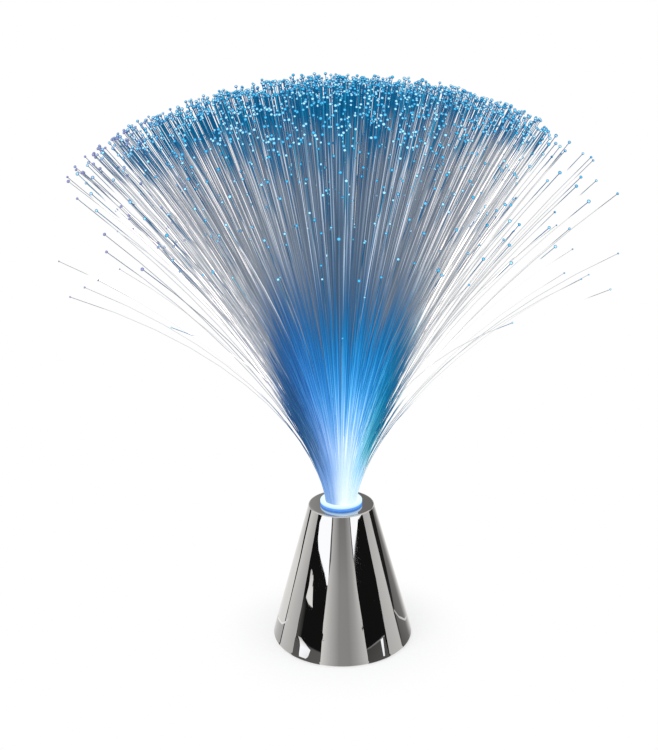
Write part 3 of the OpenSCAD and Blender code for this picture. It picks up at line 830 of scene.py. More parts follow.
def join_rings(bm: bmesh.types.BMesh, rings: list[list[bmesh.types.BMVert]]) -> None:
    """Joins each ring of points to the next one; a ring of one point is a pole.

    Args:
        bm: the mesh that the points belong to.
        rings: the rings, in order.
    """
    for low, high in zip(rings, rings[1:]):
        sides = max(len(low), len(high))
        for k in range(sides):
            j = (k + 1) % sides
            if len(low) == 1:
                bm.faces.new((low[0], high[j], high[k]))
            elif len(high) == 1:
                bm.faces.new((low[k], low[j], high[0]))
            else:
                bm.faces.new((low[k], low[j], high[j], high[k]))


def smooth_piece(bm: bmesh.types.BMesh, name: str, material: Material) -> Piece:
    """Turns a finished mesh under construction into a smooth object.

    Args:
        bm: the mesh, which is freed.
        name: the object's name.
        material: its material.

    Returns:
        The object.
    """
    bmesh.ops.recalc_face_normals(bm, faces=bm.faces)
    mesh = bpy.data.meshes.new(name)
    bm.to_mesh(mesh)
    bm.free()
    mesh.polygons.foreach_set("use_smooth", [True] * len(mesh.polygons))
    mesh.materials.append(material)
    return link(name, mesh)


def lathe(name: str, profile: list[tuple[float, float]], sides: int, material: Material) -> Piece:
    """Turns a half outline round the upright axis through the origin.

    Args:
        name: the object's name.
        profile: radius and height of each point; a radius of 0 is a pole.
        sides: number of sides round the axis.
        material: its material.

    Returns:
        The object.
    """
    bm = bmesh.new()
    rings = []
    for radius, height in profile:
        turns = [math.tau * k / sides for k in range(sides)] if radius else [0.0]
        rings.append([bm.verts.new((radius * math.cos(turn), radius * math.sin(turn), height))
                      for turn in turns])
    join_rings(bm, rings)
    return smooth_piece(bm, name, material)


class GeometryTree(Graph):
    """A Geometry Nodes tree with named inputs, and the making of pieces from it."""

    SOCKETS = {bool: "NodeSocketBool", int: "NodeSocketInt", float: "NodeSocketFloat"}

    def __init__(self, name: str, sizes: Sizes) -> None:
        """Makes the tree with its inputs.

        Args:
            name: the tree's name.
            sizes: the inputs by name; each value's type gives the socket's type.
        """
        super().__init__(bpy.data.node_groups.new(name, "GeometryNodeTree"))
        face = self.tree.interface
        kinds = {key: self.SOCKETS[type(value)] for key, value in sizes.items()}
        self.identifiers = {
            key: face.new_socket(key, in_out="INPUT", socket_type=kind).identifier
            for key, kind in (kinds | {"Material": "NodeSocketMaterial"}).items()}
        face.new_socket("Geometry", in_out="OUTPUT", socket_type="NodeSocketGeometry")
        self.entry = self.tree.nodes.new("NodeGroupInput")
        self.exit = self.tree.nodes.new("NodeGroupOutput")

    def size(self, name: str) -> Socket:
        """Gives one of the tree's named inputs."""
        return self.entry.outputs[name]

    def store(self, geometry: Socket, name: str, value: Socket,
              data_type: str = "FLOAT") -> Socket:
        """Gives the geometry with a value stored on its points as a named attribute."""
        return self.value("GeometryNodeStoreNamedAttribute",
                          {"Geometry": geometry, "Name": name, "Value": value},
                          data_type=data_type, domain="POINT")

    def moved(self, geometry: Socket, place: Socket) -> Socket:
        """Gives the geometry with its points at the given places."""
        return self.value("GeometryNodeSetPosition", {"Geometry": geometry, "Position": place})

    def tube(self, curves: Socket, radius: Term, sides: Term) -> Socket:
        """Gives the mesh of tubes with closed ends that follow the curves."""
        outline = self.value("GeometryNodeCurvePrimitiveCircle",
                             {"Resolution": sides, "Radius": radius}, mode="RADIUS")
        return self.value("GeometryNodeCurveToMesh",
                          {"Curve": curves, "Profile Curve": outline, "Fill Caps": True})

    def finish(self, geometry: Socket) -> None:
        """Ends the tree: instances made real, smooth shading and the material.

        Args:
            geometry: what the tree has made.
        """
        real = self.value("GeometryNodeRealizeInstances", {0: geometry})
        smooth = self.value("GeometryNodeSetShadeSmooth", {0: real})
        painted = self.value("GeometryNodeSetMaterial",
                             {"Geometry": smooth, "Material": self.size("Material")})
        self.tree.links.new(painted, self.exit.inputs[0])

    def piece(self, name: str, material: Material, sizes: Sizes,
              start: bpy.types.Mesh | None = None) -> Piece:
        """Runs the tree and keeps its result as a plain mesh.

        Args:
            name: the new object's name.
            material: its material.
            sizes: values of the tree's inputs, by name.
            start: mesh that the tree starts from, where it reads one.

        Returns:
            The object, without its modifier.
        """
        carrier = link(name + "_maker", start or bpy.data.meshes.new(name + "_maker"))
        modifier = carrier.modifiers.new("maker", "NODES")
        modifier.node_group = self.tree
        for key, value in (sizes | {"Material": material}).items():
            modifier[self.identifiers[key]] = value
        depsgraph = bpy.context.evaluated_depsgraph_get()
        mesh = bpy.data.meshes.new_from_object(
            carrier.evaluated_get(depsgraph), preserve_all_data_layers=True, depsgraph=depsgraph)
        mesh.name = name
        carrier.modifiers.remove(modifier)
        bpy.data.objects.remove(carrier)
        if not mesh.materials:
            mesh.materials.append(material)
        mesh.materials[0] = material
        return link(name, mesh)


# ---------- strands ----------


class SprayTree(GeometryTree):
    """Strands that grow from a bundle in tufts and bend outwards, or the beads on their tips.

    Tuft t of n lies on a sunflower pattern: its azimuth is Start plus t times Turn, and its
    place between the middle and the edge is ((t + 0.5) / n) to the power Evenness. Lengths
    follow number rules: tuft or strand number times a step, without its whole part.
    """

    LONG_STEP = 0.5698
    SHORT_STEP = 0.7549
    SEED_STEP = 17
    SPREAD_UNIT = 60.0
    CROWDING = 1.6

    def __init__(self, sizes: Sizes) -> None:
        """Builds the tree.

        Args:
            sizes: the inputs by name, as FibreUnit.field() gives them.
        """
        super().__init__("spray", sizes)
        self.draws = 0
        line = self.value("GeometryNodeCurvePrimitiveLine")
        rings = self.value("GeometryNodeResampleCurve",
                           {"Curve": line, "Count": self.size("Rings")})
        copies = self.add("GeometryNodeDuplicateElements",
                          {"Geometry": rings, "Amount": self.size("Strands")}, domain="SPLINE")
        self.strand = self.socket(copies.outputs, "Duplicate Index")
        tuft = self.math("MODULO", self.strand, self.size("Tufts"))
        across, deep, wide = self.plan_lean(tuft)
        foot = self.plan_foot(across, deep, wide)
        reach = self.plan_length(tuft)
        curves = self.bend(copies.outputs[0], reach, across, deep, foot)
        thick = self.tube(curves, self.times(self.size("Thickness"), 0.5), self.size("Sides"))
        self.finish(self.value("GeometryNodeSwitch", {
            "Switch": self.size("Beads"), "False": thick, "True": self.bead_tips(curves),
        }, input_type="GEOMETRY"))

    def draw(self, lowest: float, highest: float) -> Socket:
        """Draws a random number for each strand, a new one at each call.

        Args:
            lowest: least value.
            highest: greatest value.

        Returns:
            The number.
        """
        self.draws += 1
        seed = self.math("ADD", self.size("Seed"), self.draws * self.SEED_STEP)
        return self.value("FunctionNodeRandomValue", {
            "Min": float(lowest), "Max": float(highest), "ID": self.strand, "Seed": seed,
        }, "Value", data_type="FLOAT")

    def rule(self, number: Socket, step: Term) -> Socket:
        """Gives a repeatable spread of numbers from 0 to 1: the fraction of number times step."""
        return self.math("FRACT", self.times(number, step))

    def between(self, low: Term, high: Term, share: Term) -> Socket:
        """Gives the value a share of the way from low to high."""
        return self.math("MULTIPLY_ADD", self.math("SUBTRACT", high, low), share, low)

    def plan_lean(self, tuft: Socket) -> tuple[Socket, Socket, Socket]:
        """Plans where each strand leans.

        Args:
            tuft: the number of the strand's tuft.

        Returns:
            The lean at the tip along X and along Y, and the edge's lean on that side, in degrees.
        """
        share = self.math("DIVIDE", self.math("ADD", tuft, 0.5), self.size("Tufts"))
        turn = self.math("MULTIPLY_ADD", tuft, self.size("Turn"), self.size("Start"))
        ux, uy = self.polar(self.math("POWER", share, self.size("Evenness")),
                            self.math("RADIANS", turn))
        wide = self.between(self.size("Lean right"), self.size("Lean left"),
                            self.math("LESS_THAN", ux, 0.0))
        spread = self.times(self.size("Scatter"), self.math("SQRT", self.draw(0, 1)))
        off_x, off_y = self.polar(spread, self.draw(0, math.tau))
        return (self.math("MULTIPLY_ADD", ux, wide, off_x),
                self.math("MULTIPLY_ADD", uy, self.size("Lean deep"), off_y), wide)

    def plan_foot(self, across: Socket, deep: Socket, wide: Socket) -> Socket:
        """Plans where each strand leaves the bundle: the more it leans, the further out.

        Args:
            across: the strand's lean at the tip along X, in degrees.
            deep: its lean at the tip along Y, in degrees.
            wide: the edge's lean along X on that side.

        Returns:
            The foot.
        """
        fx = self.math("DIVIDE", across, wide)
        fy = self.math("DIVIDE", deep, self.size("Lean deep"))
        far = self.math("MAXIMUM", self.length(fx, fy), 0.0001)
        out = self.math("POWER", self.math("MINIMUM", far, 1.0), self.size("Foot power"))
        per = self.math("DIVIDE", self.times(self.size("Foot radius"), out), far)
        return self.join_xyz(self.times(fx, per), self.times(fy, per), self.size("Root height"))

    def plan_length(self, tuft: Socket) -> Socket:
        """Plans each strand's length.

        Args:
            tuft: the tuft's number, which sets the length of its long strands.

        Returns:
            The length.
        """
        long = self.between(self.size("Long low"), self.size("Long high"),
                            self.rule(tuft, self.LONG_STEP))
        short = self.between(
            self.size("Short low"), self.size("Short high"),
            self.math("POWER", self.rule(self.strand, self.SHORT_STEP), self.size("Short power")))
        level = self.math("SUBTRACT", 0.9999, self.size("Short share"))
        is_short = self.math("GREATER_THAN", self.rule(self.strand, self.size("Short step")), level)
        jitter = self.times(self.size("Jitter"), self.draw(-1, 1))
        share = self.math("ADD", self.between(long, short, is_short), jitter)
        return self.times(share, self.size("Length"))

    def bend(self, lines: Socket, reach: Socket, across: Socket, deep: Socket,
             foot: Socket) -> Socket:
        """Bends the lines: each ring's step is summed along its strand.

        Args:
            lines: one straight line for each strand.
            reach: the strand's length.
            across: its lean at the tip along X, in degrees.
            deep: its lean at the tip along Y, in degrees.
            foot: where it leaves the bundle.

        Returns:
            The bent curves with their attributes.
        """
        factor = self.value("GeometryNodeSplineParameter", None, "Factor")
        gap = self.math("DIVIDE", 1.0, self.math("SUBTRACT", self.size("Rings"), 1.0))
        before = self.math("MAXIMUM", self.math("SUBTRACT", factor, gap), 0.0)
        here, last = (self.math("POWER", place, self.CROWDING) for place in (factor, before))
        halfway = self.times(self.math("ADD", here, last), 0.5)
        power = self.times(self.size("Bend power"), self.math(
            "MULTIPLY_ADD", self.size("Bend spread"), self.draw(-1, 1), 1.0))
        bent = self.math("RADIANS", self.times(self.length(across, deep),
                                               self.math("POWER", halfway, power)))
        swing = self.times(self.times(self.size("Drift"), self.draw(-1, 1)), halfway)
        heading = self.math("ADD", self.math("ARCTAN2", deep, across),
                            self.math("RADIANS", swing))
        step = self.times(reach, self.math("SUBTRACT", here, last))
        rise, flat = self.polar(step, bent)
        total = self.value("GeometryNodeAccumulateField", {
            0: self.join_xyz(*self.polar(flat, heading), rise), "Group ID": self.strand,
        }, "Leading", data_type="FLOAT_VECTOR", domain="POINT")
        place = self.value("ShaderNodeVectorMath", {0: foot, 1: total}, operation="ADD")
        run = self.times(here, reach)
        curves = self.store(lines, "run", run)
        curves = self.store(curves, "to_tip", self.math("SUBTRACT", reach, run))
        curves = self.store(curves, "tone", self.draw(0, 1))
        spread = [self.math("DIVIDE", lean, self.SPREAD_UNIT) for lean in (across, deep)]
        curves = self.store(curves, "spread", self.join_xyz(*spread, 0.0), "FLOAT_VECTOR")
        return self.moved(curves, place)

    def bead_tips(self, curves: Socket) -> Socket:
        """Puts a small bead on each strand's tip.

        Args:
            curves: the bent curves.

        Returns:
            The beads, with an attribute that runs from 0 at the strand to 1 at the cut end.
        """
        ball = self.value("GeometryNodeMeshUVSphere", {
            "Segments": 7, "Rings": 5, "Radius": self.size("Bead radius")}, "Mesh")
        height = self.split_xyz(self.value("GeometryNodeInputPosition"))[Along.Z.value]
        end = self.math("DIVIDE", height, self.times(self.size("Bead radius"), 2.0))
        bead = self.store(ball, "end", self.math("ADD", end, 0.5))
        tips = self.value("GeometryNodeCurveEndpointSelection", {"Start Size": 0, "End Size": 1})
        tangent = self.value("GeometryNodeInputTangent")
        turned = self.value("FunctionNodeAlignRotationToVector", {"Vector": tangent}, axis="Z")
        width = self.draw(0.8, 1.15)
        return self.value("GeometryNodeInstanceOnPoints", {
            "Points": curves, "Instance": bead, "Selection": tips, "Rotation": turned,
            "Scale": self.join_xyz(width, width, self.times(width, 0.85))})


@dataclass
class FibreUnit:
    """Collar, bonded bundle and spray of strands, which lift out of the cone together."""

    bundle_d: float = 18.3 * MM
    bundle_sides: int = 64
    bevel: float = 0.3 * MM
    sunk: float = 0.8 * MM
    length: float = 234 * MM
    stray_length: float = 204 * MM
    field_foot: float = 7.58 * MM
    stray_foot: float = 8.53 * MM
    edge_foot: float = 8.85 * MM
    main_lean: float = 51.0
    stray_lean: float = 65.0
    main_evenness: float = 0.62
    main_bend: float = 0.36
    late_bend: float = 0.45
    main_count: int = 288
    stray_count: int = 12
    tuft_count: int = 140
    strands_in_tuft: int = 13
    crown_count: int = 600
    crown_in_tuft: int = 12
    sheaf_count: int = 26
    wisp_count: int = 14
    main_d: float = 0.46 * MM
    fine_d: float = 0.40 * MM
    wisp_d: float = 0.24 * MM
    bead_r: float = 0.84 * MM
    small_bead_r: float = 0.5 * MM

    def build(self) -> None:
        """Builds every piece of the unit."""
        low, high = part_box("collar")
        dress(FrostedGlow(self.bundle_d / 2, high.x, high.z).material(), "collar")
        root = high.z - self.sunk
        self.build_bundle(low.z, root)
        self.build_spray(root)

    def build_bundle(self, low: float, high: float) -> None:
        """Builds the bonded bundle with its polished end.

        Args:
            low: height of the polished end.
            high: height where the strands part.
        """
        radius = self.bundle_d / 2
        inner = radius - self.bevel
        profile = [(0, low), (inner, low), (radius, low + self.bevel), (radius, high - self.bevel),
                   (inner, high), (0, high)]
        bundle = lathe("fibre_bundle", profile, self.bundle_sides, BundleEnd(low, high).material())
        settle(bundle, Body.FIBRE_UNIT, "strand", "fibre_spray")

    @staticmethod
    def lean(left: float, right: float, deep: float) -> Sizes:
        """Gives the inputs for the lean at the edge to the left, to the right and in depth."""
        return {"Lean left": left, "Lean right": right, "Lean deep": deep}

    def field(self, root: float) -> Sizes:
        """Gives the main field's inputs, by the CAD source's rules; its strands start at root."""
        return self.lean(self.main_lean, self.main_lean, self.main_lean) | {
            "Strands": self.main_count, "Tufts": self.main_count, "Start": 0.0,
            "Turn": GOLDEN_TURN, "Evenness": self.main_evenness, "Scatter": 0.0,
            "Foot radius": self.field_foot, "Foot power": 0.5 / self.main_evenness,
            "Root height": root, "Length": self.length,
            "Long low": 0.955, "Long high": 0.995, "Short low": 0.70, "Short high": 0.94,
            "Short share": 0.25, "Short step": 0.25, "Short power": 1.0, "Jitter": 0.0,
            "Thickness": self.main_d, "Drift": 0.0, "Bend power": self.main_bend,
            "Bend spread": 0.0, "Rings": 14, "Sides": 3, "Bead radius": self.bead_r,
            "Beads": False, "Seed": 4,
        }

    def groups(self, field: Sizes) -> dict[str, Sizes]:
        """Gives the inputs of each group of strands.

        Args:
            field: the inputs of the main field.

        Returns:
            The groups by the piece's name: the main field, the finer strands between it, more
            of them in the middle of the dome, a looser sheaf on the left, the strays and the
            thinnest wisps.
        """
        fine = field | self.lean(43.0, 36.5, 31.0) | {
            "Strands": self.tuft_count * self.strands_in_tuft, "Tufts": self.tuft_count,
            "Evenness": 0.66, "Scatter": 3.2, "Foot radius": self.edge_foot, "Foot power": 0.7,
            "Long low": 0.981, "Long high": 0.998, "Short low": 0.64, "Short high": 0.97,
            "Short share": 0.40, "Short step": 0.618034, "Short power": 0.5, "Jitter": 0.005,
            "Thickness": self.fine_d, "Drift": 4.0, "Bend spread": 0.12, "Seed": 11,
        }
        crown = fine | self.lean(36.0, 31.0, 28.0) | {
            "Strands": self.crown_count, "Tufts": self.crown_count // self.crown_in_tuft,
            "Short share": 0.0, "Long low": 0.965, "Long high": 0.993, "Seed": 47,
        }
        sheaf = fine | self.lean(50.0, 50.0, 30.0) | {
            "Strands": self.sheaf_count, "Tufts": 9, "Start": 120.0, "Turn": 15.0,
            "Evenness": 0.05, "Scatter": 6.0, "Bend power": self.late_bend,
            "Thickness": self.fine_d * 0.85, "Seed": 23,
        }
        stray = field | self.lean(self.stray_lean, self.stray_lean, self.stray_lean) | {
            "Strands": self.stray_count, "Tufts": self.stray_count,
            "Turn": 360.0 / self.stray_count, "Evenness": 0.0, "Foot radius": self.stray_foot,
            "Bend power": self.late_bend, "Length": self.stray_length, "Long low": 1.0,
            "Long high": 1.0, "Short share": 0.0, "Thickness": self.fine_d * 0.8,
            "Bead radius": self.small_bead_r, "Seed": 31,
        }
        wisps = stray | self.lean(61.0, 61.0, 50.0) | {
            "Strands": self.wisp_count, "Tufts": self.wisp_count, "Turn": GOLDEN_TURN,
            "Scatter": 4.0, "Length": self.length, "Long low": 0.75, "Long high": 0.86,
            "Foot radius": self.edge_foot, "Thickness": self.wisp_d, "Drift": 6.0, "Seed": 37,
        }
        return {"strands": field, "fine_strands": fine, "crown_strands": crown,
                "sheaf_strands": sheaf, "stray_strands": stray, "wisp_strands": wisps}

    def build_spray(self, root: float) -> None:
        """Builds the groups of strands and the beads on their tips.

        Args:
            root: height where the strands start.
        """
        field = self.field(root)
        tree = SprayTree(field)
        strand = StrandGlow().material()
        tip = TipGlow().material()
        for name, sizes in self.groups(field).items():
            for ending, finish, beads in (("", strand, False), ("_tips", tip, True)):
                piece = tree.piece(name + ending, finish, sizes | {"Beads": beads})
                settle(piece, Body.FIBRE_UNIT, "strand", "fibre_spray")


# ---------- base ----------


@dataclass(frozen=True)
class Base:
    """Chrome cone, black base plate with its door, and the screws."""

    black: Colour = (0.012, 0.012, 0.013)
    steel: Colour = (0.62, 0.61, 0.6)
    dull_steel: Colour = (0.4, 0.39, 0.37)

    def build(self) -> None:
        """Dresses the nodes."""
        dress(Chrome().material(), "base_shell")
        dress(MouldedPlastic("black_plastic", self.black).material(), "base_plate", "battery_door")
        dress(PlatedMetal("screw_steel", self.steel, self.dull_steel).material(),
              "plate_screws", "board_screws")


@dataclass
class BatteryBay:
    """Three cells, their contact strips and the coil springs."""

    spring_wire_d: float = 0.6 * MM
    spring_turns: float = 3.0
    spring_foot: float = 0.32
    spring_tip: float = 0.2
    middle_cell: int = 2
    nickel: Colour = (0.68, 0.66, 0.6)
    dull_nickel: Colour = (0.5, 0.47, 0.4)

    def build(self) -> None:
        """Dresses the cells and contacts and winds the springs; the middle cell is turned round."""
        for number in (1, 2, 3):
            low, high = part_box(f"battery_{number}")
            towards = -1.0 if number == self.middle_cell else 1.0
            finish = CellJacket(f"cell_jacket_{number}", (low.y + high.y) / 2, high.y - low.y,
                                towards)
            dress(finish.material(), f"battery_{number}")
        metal = PlatedMetal("contact_metal", self.nickel, self.dull_nickel, 0.22).material()
        dress(metal, "contact_plus", "contact_minus", "contact_bridge_front",
              "contact_bridge_back")
        self.wind_springs(metal)

    def wind_springs(self, material: Material) -> None:
        """Winds the three tapered springs in place of their CAD forms.

        Args:
            material: the springs' metal.
        """
        tree = None
        front, back = (corner.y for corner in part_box("contact_springs"))
        for number in (1, 2, 3):
            first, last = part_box(f"battery_{number}")
            at_back = number == self.middle_cell
            foot, tip, way = (back, last.y, -1.0) if at_back else (front, first.y, 1.0)
            middle = (first + last) / 2
            width = last.x - first.x
            sizes = {
                "Foot radius": width * self.spring_foot, "Tip radius": width * self.spring_tip,
                "Length": abs(tip - foot) - self.spring_wire_d, "Turns": self.spring_turns,
                "Wire radius": self.spring_wire_d / 2, "X": middle.x,
                "Y": foot + way * self.spring_wire_d / 2, "Z": middle.z, "Way": way,
            }
            tree = tree or self.spring_tree(sizes)
            spring = tree.piece(f"contact_spring_{number}", material, sizes)
            settle(spring, Body.BASE, "contact_metal", "contact_springs")

    @staticmethod
    def spring_tree(sizes: Sizes) -> GeometryTree:
        """Builds the tree that winds one tapered spring along Y.

        Args:
            sizes: the tree's inputs by name.

        Returns:
            The tree.
        """
        tree = GeometryTree("spring", sizes)
        coil = tree.value("GeometryNodeCurveSpiral", {
            "Resolution": 24, "Rotations": tree.size("Turns"),
            "Start Radius": tree.size("Foot radius"), "End Radius": tree.size("Tip radius"),
            "Height": tree.size("Length")})
        x, y, z = tree.split_xyz(tree.value("GeometryNodeInputPosition"))
        place = tree.join_xyz(
            tree.math("ADD", x, tree.size("X")),
            tree.math("ADD", tree.times(z, tree.size("Way")), tree.size("Y")),
            tree.math("ADD", y, tree.size("Z")))
        tree.finish(tree.tube(tree.moved(coil, place), tree.size("Wire radius"), 10))
        return tree


@dataclass(frozen=True)
class SlideSwitch:
    """Metal can and ribbed knob of the slide switch."""

    can: Colour = (0.6, 0.6, 0.58)
    dull_can: Colour = (0.42, 0.42, 0.4)
    knob: Colour = (0.62, 0.61, 0.58)

    def build(self) -> None:
        """Dresses the nodes."""
        can = PlatedMetal("switch_metal", self.can, self.dull_can, 0.3, (1, 0.08, 1))
        dress(can.material(), "switch_body")
        dress(MouldedPlastic("knob_plastic", self.knob, 0.4).material(), "switch_knob")


@dataclass
class LightUnit:
    """Circuit board, lamps, resistors, light cup and solder joints."""

    leg_pitch: float = 2.54 * MM
    ring_r: float = 4.0 * MM
    joint_r: float = 1.0 * MM
    joint_h: float = 0.9 * MM
    joint_tip: float = 0.25
    joint_waist: float = 0.28
    lamp_angles: tuple[float, ...] = (90.0, 210.0, 330.0)
    lamps: tuple[tuple[str, Colour, Colour], ...] = (
        ("red", (0.5, 0.05, 0.03), (1.0, 0.12, 0.05)),
        ("green", (0.05, 0.45, 0.1), (0.1, 1.0, 0.2)),
        ("blue", (0.04, 0.12, 0.6), (0.08, 0.3, 1.0)),
    )
    cup: Colour = (0.78, 0.78, 0.76)

    def build(self) -> None:
        """Dresses the nodes and adds the solder joints."""
        dress(BoardLacquer().material(), "led_board")
        under, board_top = (corner.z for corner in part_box("led_board"))
        for name, tint, glow in self.lamps:
            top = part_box("led_" + name)[1].z
            dress(LampLens("lamp_" + name, tint, glow, board_top, top).material(), "led_" + name)
        low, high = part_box("resistors")
        chip = ChipResistor((low.y + high.y) / 2, (high.y - low.y) / 2)
        dress(chip.material(), "resistors")
        dress(MouldedPlastic("cup_white", self.cup, 0.5).material(), "light_cup")
        self.solder_legs(under)

    def solder_legs(self, under: float) -> None:
        """Puts a small cone of solder round each lamp leg under the board.

        Args:
            under: height of the board's lower face.
        """
        points = []
        for angle in self.lamp_angles:
            turn = math.radians(angle)
            out = Vector((math.cos(turn), math.sin(turn), 0)) * self.ring_r
            side = Vector((-math.sin(turn), math.cos(turn), 0)) * self.leg_pitch / 2
            points += [(*(out + leg).xy, under) for leg in (side, -side)]
        spots = bpy.data.meshes.new("solder_spots")
        spots.from_pydata(points, [], [])
        sizes = {"Radius": self.joint_r, "Height": self.joint_h}
        piece = self.solder_tree(sizes).piece("lamp_solder", Solder().material(), sizes, spots)
        settle(piece, Body.BASE, "contact_metal")

    def solder_tree(self, sizes: Sizes) -> GeometryTree:
        """Builds the tree that hangs a hollow-sided cone of solder on each point.

        Args:
            sizes: the tree's inputs by name.

        Returns:
            The tree.
        """
        tree = GeometryTree("solder", sizes)
        entry = tree.tree.interface.new_socket("Points", in_out="INPUT",
                                               socket_type="NodeSocketGeometry")
        tree.tree.interface.move(entry, 0)
        radius, height = tree.size("Radius"), tree.size("Height")
        cone = tree.value("GeometryNodeMeshCone", {
            "Vertices": 16, "Side Segments": 5, "Radius Bottom": radius,
            "Radius Top": tree.times(radius, self.joint_tip), "Depth": height}, "Mesh")
        x, y, z = tree.split_xyz(tree.value("GeometryNodeInputPosition"))
        share = tree.math("DIVIDE", z, height, clamp=True)
        hollow = tree.times(tree.math("SINE", tree.times(share, math.pi)), self.joint_waist)
        waist = tree.math("SUBTRACT", 1.0, hollow)
        shaped = tree.moved(cone, tree.join_xyz(tree.times(x, waist), tree.times(y, waist), z))
        turned = tree.value("GeometryNodeTransform",
                            {"Geometry": shaped, "Rotation": (math.pi, 0.0, 0.0)})
        tree.finish(tree.value("GeometryNodeInstanceOnPoints",
                               {"Points": tree.size("Points"), "Instance": turned}))
        return tree


@dataclass
class Wiring:
    """Three wires between the contacts, the switch and the board."""

    wire_r: float = 0.7 * MM
    sides: int = 14
    steps: int = 9
    rise: float = 2 * MM
    pin_pitch: float = 3 * MM
    tab_inset: float = 0.2 * MM
    board_x: float = 7.5 * MM
    board_y: float = -6.5 * MM
    red: Colour = (0.42, 0.012, 0.01)
    black: Colour = (0.012, 0.012, 0.012)

    def build(self) -> None:
        """Makes the wires through the same points as in the CAD source."""
        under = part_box("led_board")[0].z
        low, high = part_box("switch_body")
        pins = [Vector(((low.x + high.x) / 2, k * self.pin_pitch, high.z)) for k in (0, 1)]
        low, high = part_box("contact_plus")
        plus = Vector(((low.x + high.x) / 2, high.y - self.tab_inset, high.z))
        low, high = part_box("contact_minus")
        minus = Vector(((low.x + high.x) / 2, low.y + self.tab_inset, high.z))
        holes = [Vector((x, self.board_y, under)) for x in (self.board_x, -self.board_x)]
        materials = {"wire_red": WireSkin("wire_red", self.red).material(),
                     "wire_black": WireSkin("wire_black", self.black).material()}
        for name, slot, start, middle, end, way in (
            ("wire_plus", "wire_red", plus, ((14, 20, 23), (19, 13, 23), (24, 7, 21)),
             pins[1], 1),
            ("wire_switched", "wire_red", pins[0],
             ((24, -2, 23.1), (17, -5, 34.9), (10, -6.5, 43.9)), holes[0], -1),
            ("wire_minus", "wire_black", minus,
             ((-13, -20, 29), (-12, -13, 37.9), (-8.5, -7.5, 44.9)), holes[1], -1),
        ):
            rise = Vector((0, 0, self.rise))
            between = [Vector(point) * MM for point in middle]
            route = [start, start + rise, *between, end + rise * way, end]
            settle(self.tube(name + "_skin", materials[slot], route), Body.BASE, slot, name)

    def smooth(self, route: list[Vector]) -> list[Vector]:
        """Runs a smooth curve through the route's points.

        Args:
            route: the chosen points.

        Returns:
            Points along the curve.
        """
        path = [route[0]]
        for a, b, c, d in zip(route, route[1:], route[2:], route[3:]):
            for k in range(self.steps):
                t = k / self.steps
                path.append(0.5 * (2 * b + (c - a) * t + (2 * a - 5 * b + 4 * c - d) * t * t
                                   + (3 * b - a - 3 * c + d) * t ** 3))
        return path + route[-2:]

    def tube(self, name: str, material: Material, route: list[Vector]) -> Piece:
        """Sweeps a round section along a route.

        Args:
            name: the object's name.
            material: its material.
            route: the chosen points.

        Returns:
            The wire, with an attribute that says how far along it a point is, from 0 to 1.
        """
        path = self.smooth(route)
        lengths = [0.0]
        for a, b in zip(path, path[1:]):
            lengths.append(lengths[-1] + (b - a).length)
        bm = bmesh.new()
        layer = bm.verts.layers.float.new("along")
        side = Vector((1, 0, 0))
        rings = []
        for i, point in enumerate(path):
            ahead = (path[min(i + 1, len(path) - 1)] - path[max(i - 1, 0)]).normalized()
            side = (side - ahead * side.dot(ahead)).normalized()
            other = ahead.cross(side)
            ring = []
            for k in range(self.sides):
                turn = math.tau * k / self.sides
                vert = bm.verts.new(point + self.wire_r * (math.cos(turn) * side
                                                           + math.sin(turn) * other))
                vert[layer] = lengths[i] / lengths[-1]
                ring.append(vert)
            rings.append(ring)
        join_rings(bm, rings)
        bm.faces.new(rings[0][::-1])
        bm.faces.new(rings[-1])
        return smooth_piece(bm, name, material)


# ---------- studio ----------


def blank(owner: Material | bpy.types.World) -> Graph:
    """Empties the tree of a new material or world.

    Args:
        owner: the material or world.

    Returns:
        Its tree.
    """
    owner.use_nodes = True
    owner.node_tree.nodes.clear()
    return Graph(owner.node_tree)


def card_material() -> Material:
    """Builds, once, the material of the cards, which reads their shade from their points.

    Returns:
        The material.
    """
    name = "card"
    if name in bpy.data.materials:
        return bpy.data.materials[name]
    material = bpy.data.materials.new(name)
    g = blank(material)
    shade = g.attribute("shade")
    tint = g.blend(g.ramp(shade, 1.2, 1.6), (1.0, 0.985, 0.965), (0.985, 1.0, 1.03))
    glow = g.value("ShaderNodeEmission", {"Color": tint, "Strength": shade})
    g.add("ShaderNodeOutputMaterial", {"Surface": glow})
    return material


def mirror_card(name: str, verts: list[Vector], shades: list[float],
                faces: list[tuple[int, ...]]) -> None:
    """Makes a plain glowing card that only mirrors see.

    Args:
        name: the card's name.
        verts: its points.
        shades: how bright it is at each point, 1 being white.
        faces: its faces, as numbers of points.
    """
    mesh = bpy.data.meshes.new(name)
    mesh.from_pydata([tuple(v) for v in verts], [], faces)
    shade = mesh.attributes.new("shade", "FLOAT", "POINT")
    shade.data.foreach_set("value", shades)
    mesh.materials.append(card_material())
    piece = link(name, mesh)
    for rays in ("camera", "diffuse", "transmission", "shadow"):
        setattr(piece, "visible_" + rays, False)


@dataclass(frozen=True)
class Screen:
    """Upright curved screen far behind the lamp, which the cone's flat top mirrors.

    Azimuths are from the camera's side, in degrees, positive towards +X.
    """

    name: str
    stops: tuple[tuple[float, float], ...]
    distance: float
    low: float
    high: float
    step: float = 3.0

    def build(self) -> None:
        """Builds the screen with its shade stored on its points."""
        verts, shades = [], []
        for (a0, s0), (a1, s1) in zip(self.stops, self.stops[1:]):
            count = max(1, round(abs(a1 - a0) / self.step))
            for k in range(count + 1):
                share = k / count
                turn = math.radians(a0 + (a1 - a0) * share)
                place = (self.distance * math.sin(turn), -self.distance * math.cos(turn))
                verts += [Vector((*place, self.low)), Vector((*place, self.high))]
                shades += [s0 + (s1 - s0) * share] * 2
        faces = [(i, i + 1, i + 3, i + 2) for i in range(0, len(verts) - 2, 2)]
        mirror_card(self.name, verts, shades, faces)


